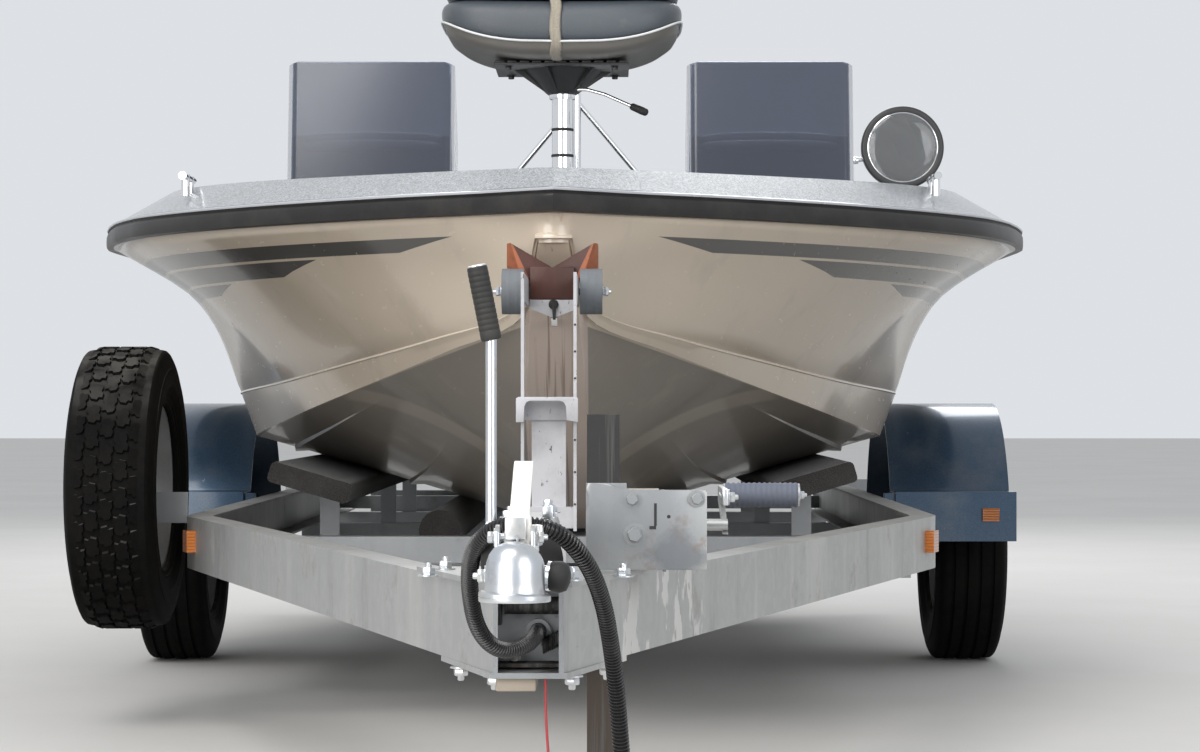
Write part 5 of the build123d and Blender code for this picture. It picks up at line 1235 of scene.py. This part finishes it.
# slanted lip plate under the bell
lip = [(u * 0.0440, v * (0.0440 if v < 0 else 0.046)) for u, v in oval(40, 0.8, 1.0)]
bell.rings(
    [
        [trailer(x * share, ball_y + y * share, z - 0.05 * x) for x, y in lip]
        for share, z in ((1.0, 0.5165), (1.0, 0.5212), (0.93, 0.5236))
    ]
)
bell.tube([trailer(0, -0.512, SHAFT_Z), trailer(0, -0.4905, SHAFT_Z)], 0.0335, 32)
bell.lathe([(0.030, 0.0), (0.0345, 0.001), (0.0345, 0.008), (0.031, 0.009)], trailer(0, -0.4995, SHAFT_Z),
    (0, 1, 0), 32)
for x in (-0.0245, 0.0195):
    outline = [(-0.592, 0.560), (-0.586, 0.596), (-0.572, 0.6035), (-0.556, 0.6035), (-0.545, 0.594),
        (-0.530, 0.575), (-0.528, 0.560)]
    bell.prism(outline, lambda u, v, w, x=x: trailer(x + 0.0055 * w, u, v), 0.001)
bell.tube([trailer(-0.031, -0.5655, 0.5885), trailer(0.032, -0.5655, 0.5885)], 0.0050, 14)
bell.nut(trailer(0.0255, -0.5655, 0.5885), (1, 0, 0), 0.013)
bell.bolt(trailer(-0.0248, -0.5655, 0.5885), (-1, 0, 0), 0.013)
bell.nut(trailer(-0.036, -0.560, 0.541), (-1, 0, 0), 0.015)
bell.done(smooth=42, replaces=("coupling_head",))
handle = Kit("coupling_handle", white_plastic, slot="zinc")
rings = []
for station, z, half_x, half_y in (
    (-0.5620, 0.5760, 0.0165, 0.0105), (-0.5640, 0.5950, 0.0170, 0.0110), (-0.5625, 0.6120, 0.0150, 0.0095),
    (-0.5590, 0.6160, 0.0128, 0.0062), (-0.5570, 0.6300, 0.0124, 0.0052), (-0.5500, 0.6580, 0.0122, 0.0048),
    (-0.5440, 0.6760, 0.0122, 0.0046), (-0.5425, 0.6812, 0.0118, 0.0040),
):
    shift = 0.002 + (z - 0.576) * 0.075
    rings.append([trailer(shift + u * half_x, station + v * half_y, z) for u, v in oval(20, 0.3, 0.3)])
handle.rings(rings)
handle.done(smooth=45)
latch = Kit("coupling_latch", bright_zinc, slot="zinc")
latch.box(trailer(-0.0125, -0.5795, 0.5860), trailer(0.0135, -0.5730, 0.6130), 0.0015)
latch.box(trailer(0.0225, -0.5660, 0.5700), trailer(0.0285, -0.5400, 0.6035), 0.001)
latch.box(trailer(0.0050, -0.5350, 0.5760), trailer(0.0330, -0.5080, 0.6020), 0.004)
latch.bolt(trailer(0.0010, -0.5762, 0.5760), (0, -0.4, 1), 0.012)
latch.tube([trailer(0.003, -0.581, 0.589), trailer(0.003, -0.585, 0.5855), trailer(0.003, -0.589, 0.579)],
    0.0016, 8)
latch.done(smooth=40)

# bellows over the sliding shaft, and the housing's bolts and grease nipple
bellows = Kit("coupling_bellows", black_rubber, slot="black_rubber")
profile = []
for i in range(15):
    along = 0.300 - 0.0186 * i
    profile += [(0.0385 + 0.0006 * i, along), (0.0460 + 0.0006 * i, along - 0.0085)]
bellows.lathe([(0.036, 0.304)] + profile + [(0.042, 0.0235)], trailer(0, -0.3285, SHAFT_Z), (0, 1, 0), 44)
bellows.done(smooth=50)
knob = Kit("coupling_buffer", black_rubber, slot="black_rubber")
knob.lathe([(0.0100, 0.0), (0.0160, 0.001), (0.0190, 0.006), (0.0195, 0.016), (0.0165, 0.023),
        (0.0080, 0.0265), (0.0005, 0.027)],
           trailer(0.0405, -0.560, 0.541), (1, -0.18, -0.08), 28)
knob.done(smooth=60)
band = Kit("coupling_buffer_band", chrome, slot="zinc")
band.lathe([(0.0060, -0.008), (0.0120, -0.0075), (0.0135, 0.0), (0.0185, 0.001), (0.0185, 0.005),
        (0.0140, 0.0058)],
           trailer(0.0385, -0.560, 0.541), (1, -0.18, -0.08), 28)
band.done(smooth=45)
fittings = Kit("drawbar_bolts", bright_zinc, slot="zinc")
for x, station in (
    (-0.150, 0.150), (0.062, 0.040), (0.135, 0.135), (-0.062, 0.045), (-0.135, 0.330), (0.118, 0.352),
    (-0.045, 0.300),
):
    fittings.nut(trailer(x, station, 0.5000), (0, 0, 1), 0.018)
for x, station in ((-0.050, 0.055), (0.061, 0.055), (-0.105, 0.200), (0.110, 0.215)):
    fittings.nut(trailer(x, station, 0.3640), (0, 0, -1), 0.019)
for x in (-0.030, 0.030):
    for station in (0.03, 0.21):
        fittings.bolt(trailer(x, station, 0.5900), (0, 0, 1), 0.014)
fittings.box(trailer(0.020, -0.018, 0.5905), trailer(0.036, 0.020, 0.6080), 0.003)
fittings.bolt(trailer(0.028, 0.001, 0.6080), (0, 0, 1), 0.012)
fittings.done(smooth=38)

# inside of the nose: brake rod, cross tube, return spring and shelf; all but the spring are galvanised, given
# the dark steel finish as painted shade inside the nose
shaded_inside = Kit("nose_inside", leg_steel, slot="galvanised")
shaded_inside.tube([trailer(-0.036, 0.066, 0.463), trailer(0.0465, 0.066, 0.463)], 0.0125, 20)
shaded_inside.box(trailer(-0.047, 0.050, 0.3755), trailer(0.047, 0.0935, 0.3815), 0.001)
shaded_inside.tube([trailer(-0.020, 0.030, 0.3965), trailer(-0.020, 0.093, 0.3965)], 0.0105, 16)
shaded_inside.box(trailer(-0.0460, 0.060, 0.4350), trailer(-0.0400, 0.0935, 0.4700), 0.001)
shaded_inside.done(smooth=40)
coil = Kit("nose_spring", leg_steel, slot="weathered_leg")
points = []
for k in range(121):
    turn, share = 2 * pi * k / 15, k / 120
    middle = (0.0185 + 0.024 * share, 0.060, 0.4050 + 0.012 * share)
    points.append(trailer(middle[0], middle[1] + 0.0105 * cos(turn), middle[2] + 0.0105 * sin(turn)))
coil.tube(points, 0.0016, 6)
coil.done(smooth=60)
block = Kit("nose_block", beige_block, slot="strap_webbing")
block.box(trailer(-0.0465, 0.012, 0.3445), trailer(0.0105, 0.085, 0.3640), 0.003)
block.done(smooth=40)


# Winch plate in front, with its slot, bolts and the ratchet's step
plate = Kit("winch_front_plate", galvanised, slot="galvanised")
outline = [
    (0.0790, 0.5035), (0.2600, 0.5035), (0.2600, 0.6200), (0.2570, 0.6230), (0.1440, 0.6230),
    (0.1405, 0.6260),
    (0.1330, 0.6228), (0.1230, 0.6255), (0.1165, 0.6300), (0.1085, 0.6322), (0.0900, 0.6330),
    (0.0822, 0.6328),
    (0.0795, 0.6240), (0.0845, 0.6135), (0.0842, 0.6010), (0.0788, 0.5900), (0.0790, 0.5600),
]
plate.prism(outline, lambda u, v, w: trailer(u, 0.2620 - 0.0030 + 0.0030 * w, v), 0.0007)
for x, z, size in ((0.148, 0.6095, 0.0165), (0.245, 0.6100, 0.0155), (0.152, 0.5565, 0.0205)):
    plate.bolt(trailer(x, 0.2590, z), (0, -1, 0), size)
plate.done(smooth=30)
slot = Kit("winch_slot", black_plastic, slot="black_plastic")
slot.box(trailer(0.1810, 0.2583, 0.5690), trailer(0.1850, 0.2594, 0.6030), 0.0)
slot.box(trailer(0.1740, 0.2583, 0.5640), trailer(0.1840, 0.2594, 0.5690), 0.0)
slot.tube([trailer(0.203, 0.2586, 0.583), trailer(0.203, 0.2596, 0.583)], 0.0028, 12)
slot.done()
CRANK_PIN = (0.508, 0.608)
crank_grip = Kit("winch_crank_grip", grip_rubber, "winch", "black_rubber")
profile = [(0.0178, 0.296), (0.0196, 0.298)]
for i in range(13):
    along = 0.302 + 0.0082 * i
    profile += [(0.0200, along), (0.0186, along + 0.0028), (0.0186, along + 0.0044), (0.0200, along + 0.0072)]
profile += [(0.0194, 0.4095), (0.0160, 0.4135), (0.0110, 0.4138)]
crank_grip.lathe(profile, trailer(0.0, *CRANK_PIN), (1, 0, 0), 28)
crank_grip.done(smooth=40)
crank = Kit("winch_crank_bar", bright_zinc, "winch", "zinc")
crank.box(trailer(0.2855, 0.318, 0.5975), trailer(0.2945, 0.5220, 0.6225), 0.0015)
crank.nut(trailer(0.2948, 0.330, 0.610), (1, 0, 0), 0.014)
for i in range(4):
    crank.tube([trailer(0.2849, 0.365 + 0.032 * i, 0.610), trailer(0.2854, 0.365 + 0.032 * i, 0.610)],
        0.0055, 12)
crank.nut(trailer(0.4138, *CRANK_PIN), (1, 0, 0), 0.011)
crank.done(smooth=35)

# Bow stop's rollers, the small plate between the uprights with its pin, and the post's clamp
STOP_ROLLERS = (1.690, 0.974)
roller_kit = Kit("stop_roller_caps", bright_zinc, slot="zinc")
for side in (-1, 1):
    roller_kit.nut(trailer(side * 0.0995, *STOP_ROLLERS), (side, 0, 0), 0.016)
roller_kit.done(smooth=40)
rubber_kit = Kit("stop_roller_rubber", roller_rubber, slot="grey_roller")
for side in (-1, 1):
    rubber_kit.lathe(
        [
            (0.012, 0.0), (0.030, 0.0), (0.0405, 0.002), (0.0445, 0.006), (0.0452, 0.012), (0.0452, 0.018),
            (0.0430, 0.022),
            (0.0452, 0.026), (0.0452, 0.034), (0.0430, 0.038), (0.0402, 0.0420), (0.030, 0.0440),
            (0.012, 0.0440),
        ],
        trailer(side * 0.0550, *STOP_ROLLERS), (side, 0, 0), 40,
    )
rubber_kit.done(smooth=45)
vee = Kit("stop_vee_plate", painted, slot="galvanised")
outline = [(-0.0440, 0.9575), (0.0440, 0.9575), (0.0440, 0.9370), (0.0040, 0.9215), (-0.0440, 0.9390)]
vee.prism(outline, lambda u, v, w: trailer(u, 1.6760 + 0.0040 * w, v), 0.0006)
vee.done(smooth=30)
pin = Kit("stop_pin", leg_steel, slot="weathered_leg")
pin.tube([trailer(0.004, 1.672, 0.9550), trailer(0.004, 1.670, 0.9380), trailer(0.0045, 1.673, 0.9180)],
    [0.0065, 0.0040, 0.0028], 12)
pin.lathe([(0.002, 0.0), (0.0100, 0.001), (0.0085, 0.006), (0.003, 0.009)], trailer(0.003, 1.6755, 0.9480),
    (0, -1, 0), 16)
pin.done(smooth=45)
arch = Kit("winch_post_clamp", painted, slot="galvanised")
outline = [
    (-0.0600, 0.7180), (-0.0600, 0.7620), (-0.0560, 0.7650), (0.0520, 0.7650), (0.0550, 0.7620),
    (0.0550, 0.7180),
    (0.0335, 0.7220), (0.0335, 0.7480), (0.0290, 0.7560), (0.0220, 0.7590), (-0.0340, 0.7590),
    (-0.0410, 0.7560),
    (-0.0450, 0.7480), (-0.0450, 0.7180),
]
arch.prism(outline, lambda u, v, w: trailer(u, 1.3240 + 0.0370 * w, v), 0.0008)
arch.done(smooth=35)
holes = Kit("upright_holes", black_plastic, slot="black_plastic")
for z in (0.565, 0.625, 0.685, 0.800, 0.850, 0.900):
    holes.tube([trailer(0.0490, 1.3618, z), trailer(0.0490, 1.3612, z)], 0.0022, 10)
holes.done(smooth=35)

# Handbrake: rubber grip with its end cap
grip_foot = trailer(-0.054, 0.040, 0.845)
grip_way = Vector((-0.2, 0.0, 1.0)).normalized()
grip = Kit("handbrake_grip", black_rubber, "handbrake", "black_rubber")
profile = [(0.0085, -0.0030), (0.0140, -0.0020), (0.0150, 0.0010)]
for i in range(12):
    along = 0.005 + 0.0078 * i
    profile += [(0.0150, along), (0.0150, along + 0.0050), (0.0146, along + 0.0056), (0.0146, along + 0.0072)]
profile += [(0.0148, 0.1000), (0.0142, 0.1035), (0.0110, 0.1045)]
grip.lathe(profile, grip_foot, grip_way, 32)
grip.done(smooth=45)
cap = Kit("handbrake_cap", white_plastic, "handbrake", "zinc")
cap.lathe([(0.0132, 0.1030), (0.0136, 0.1048), (0.0128, 0.1062), (0.0030, 0.1066), (0.0022, 0.1058),
        (0.0005, 0.1058)],
          grip_foot, grip_way, 32)
cap.done(smooth=50)

# Bow stop: two boards that meet in a notch, on a block between the uprights
stop = Kit("bow_stop_boards", orange_pad, slot="orange_pad")
for side in (-1, 1):
    ridge, back = 1.682, 1.858
    points = [
        trailer(side * 0.0020, ridge + 0.020, 1.0230), trailer(side * 0.0830, ridge, 1.0700),
        trailer(side * 0.0905, ridge + 0.030, 1.0700),
        trailer(side * 0.0905, ridge + 0.034, 1.0000), trailer(side * 0.0600, ridge, 1.0000),
        trailer(side * 0.0020, ridge + 0.008, 1.0000),
    ]
    points += [Vector((point.x, NOSE_Y + back, point.z)) for point in points]
    ends = [(0, 1, 4, 5), (1, 2, 3, 4), (11, 10, 7, 6), (10, 9, 8, 7)]
    sides = [(i, (i + 1) % 6, 6 + (i + 1) % 6, 6 + i) for i in range(6)]
    stop.faces(points, ends + sides, 0.0015)
outline = [(-0.0440, 0.9580), (0.0440, 0.9580), (0.0440, 1.0230), (0.0030, 1.0215), (-0.0030, 1.0215),
    (-0.0440, 1.0230)]
stop.prism(outline, lambda u, v, w: trailer(u, 1.6740 + 0.0720 * w, v), 0.0025)
stop.done(smooth=30, replaces=("bow_stop",))


# Cords: corrugated conduit from the nose, and the thin red breakaway cable
def nurbs(name, points, samples):
    """A smooth spline that has these control points, given along the trailer."""
    curve = bpy.data.curves.new(name, "CURVE")
    curve.dimensions = "3D"
    spline = curve.splines.new("NURBS")
    spline.points.add(len(points) - 1)
    for point, place in zip(spline.points, points):
        point.co = (*trailer(*place), 1.0)
    spline.order_u = 3
    spline.use_endpoint_u = True
    spline.resolution_u = samples
    return curve


def route(points):
    """Points along the spline."""
    curve = nurbs("route", points, 40)
    holder = linked("route", curve)
    line = bpy.data.meshes.new_from_object(holder)
    found = [vertex.co.copy() for vertex in line.vertices]
    bpy.data.objects.remove(holder)
    bpy.data.curves.remove(curve)
    bpy.data.meshes.remove(line)
    return found


def evenly(line, gap):
    """The same line with points at an even distance."""
    found = [line[0]]
    left = gap
    for before, after in zip(line, line[1:]):
        step = after - before
        while step.length >= left and step.length > 0:
            before = before + step.normalized() * left
            step = after - before
            found.append(before.copy())
            left = gap
        left -= step.length
    return found


conduit_points = [
    (0.012, 0.095, 0.425), (0.012, 0.030, 0.425), (-0.002, -0.030, 0.412), (-0.038, -0.082, 0.408),
    (-0.066, -0.130, 0.440),
    (-0.074, -0.196, 0.498), (-0.070, -0.262, 0.546), (-0.052, -0.326, 0.580), (-0.012, -0.364, 0.598),
    (0.044, -0.364, 0.592),
    (0.084, -0.318, 0.550), (0.106, -0.238, 0.492), (0.118, -0.160, 0.418), (0.126, -0.100, 0.340),
    (0.132, -0.062, 0.262),
    (0.136, -0.042, 0.190), (0.141, -0.042, 0.118), (0.152, -0.066, 0.056), (0.182, -0.116, 0.018),
    (0.228, -0.168, 0.0124),
    (0.286, -0.212, 0.0124),
]
line = evenly(route(conduit_points), 0.00145)
ribbed = Kit("conduit_hose", hose_plastic, slot="black_plastic")
ribbed.tube(line, [(0.0120, 0.0119, 0.0090, 0.0089)[i % 4] for i in range(len(line))], 14)
hose = ribbed.done(smooth=38, replaces=("conduit",))
cable_points = [
    (0.024, 0.012, 0.364), (0.024, 0.012, 0.330), (0.026, -0.002, 0.288), (0.030, -0.014, 0.240),
    (0.033, -0.020, 0.190),
    (0.034, -0.024, 0.140), (0.033, -0.030, 0.092), (0.036, -0.042, 0.050), (0.050, -0.062, 0.018),
    (0.076, -0.084, 0.005),
    (0.110, -0.098, 0.0024), (0.148, -0.100, 0.0024), (0.184, -0.090, 0.0024),
]
curve = nurbs("red_cable", cable_points, 16)
curve.bevel_depth = 0.002
curve.bevel_resolution = 3
curve.use_fill_caps = True
curve.materials.append(red_cable.material)
cable = linked("red_cable", curve)
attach(cable, "root")
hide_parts("breakaway_cable")


# Camera at the photo's place, pale floor and soft light
camera = linked("camera", bpy.data.cameras.new("camera"))
camera.location = CAMERA
camera.rotation_euler = (pi / 2, 0, 0)
camera.data.lens = 90
camera.data.sensor_width = 36
camera.data.shift_x = -0.01
camera.data.shift_y = 0.0242
camera.data.clip_end = 200
bpy.context.scene.camera = camera

floor_finish = Finish("floor", (0.62, 0.61, 0.59), 0.9)
floor_finish.soil((0.56, 0.55, 0.53), 0.8, 0.4, 0.7, 0.6)
rays = floor_finish.add("LightPath")
plain_view = floor_finish.math("MAXIMUM", rays.outputs["Is Camera Ray"], rays.outputs["Is Glossy Ray"])
plain_view = floor_finish.math("MAXIMUM", plain_view, rays.outputs["Is Transmission Ray"])
floor_finish.paint(floor_finish.math("SUBTRACT", 1.0, plain_view), (0.16, 0.155, 0.15))
floor_mesh = bpy.data.meshes.new("floor")
floor_mesh.from_pydata([(-60, -60, 0), (60, -60, 0), (60, 60, 0), (-60, 60, 0)], [], [(0, 1, 2, 3)])
floor_mesh.materials.append(floor_finish.material)
floor = linked("floor", floor_mesh)

world = bpy.data.worlds.new("studio")
bpy.context.scene.world = world
world.use_nodes = True
tree = world.node_tree
ray = add_node(tree, "LightPath").outputs
seen = add_node(tree, "Math", {0: ray["Is Camera Ray"], 1: ray["Is Transmission Ray"]}, operation="MAXIMUM")
shown = add_node(tree, "Math", {0: seen.outputs[0], 1: ray["Is Glossy Ray"]}, operation="MAXIMUM")
way = add_node(tree, "TexCoord").outputs["Generated"]
height = add_node(tree, "SeparateXYZ", {0: way}).outputs["Z"]
sky = add_node(tree, "MapRange", {0: height, 1: 0.0, 2: 0.7, 3: 0.30, 4: 0.85}, clamp=True)
level = add_node(tree, "Mix", {0: shown.outputs[0], 2: sky.outputs[0], 3: 0.78}, data_type="FLOAT")
background = tree.nodes["Background"]
tree.links.new(level.outputs[0], background.inputs["Strength"])
background.inputs["Color"].default_value = (0.93, 0.96, 1.0, 1.0)


def area_light(name, place, target, size, power, color=(1, 1, 1)):
    lamp = linked(name, bpy.data.lights.new(name, "AREA"))
    lamp.data.shape = "DISK"
    lamp.data.size = size
    lamp.data.energy = power
    lamp.data.color = color
    lamp.location = place
    lamp.rotation_euler = (Vector(target) - Vector(place)).to_track_quat("-Z", "Y").to_euler()


area_light("key", (-2.6, -6.5, 7.0), (0, -1.2, 0.8), 5.0, 400, (1.0, 0.98, 0.95))
area_light("fill", (4.5, -8.0, 2.6), (0, -0.8, 0.8), 5.0, 190, (0.97, 0.98, 1.0))
area_light("front", (-3.5, -8.5, 1.9), (0, -0.8, 0.8), 5.0, 265, (1.0, 0.98, 0.96))
area_light("back", (0.5, 8.5, 6.5), (0, 1.0, 1.0), 5.0, 300)


bpy.context.scene.view_settings.view_transform = "Standard"
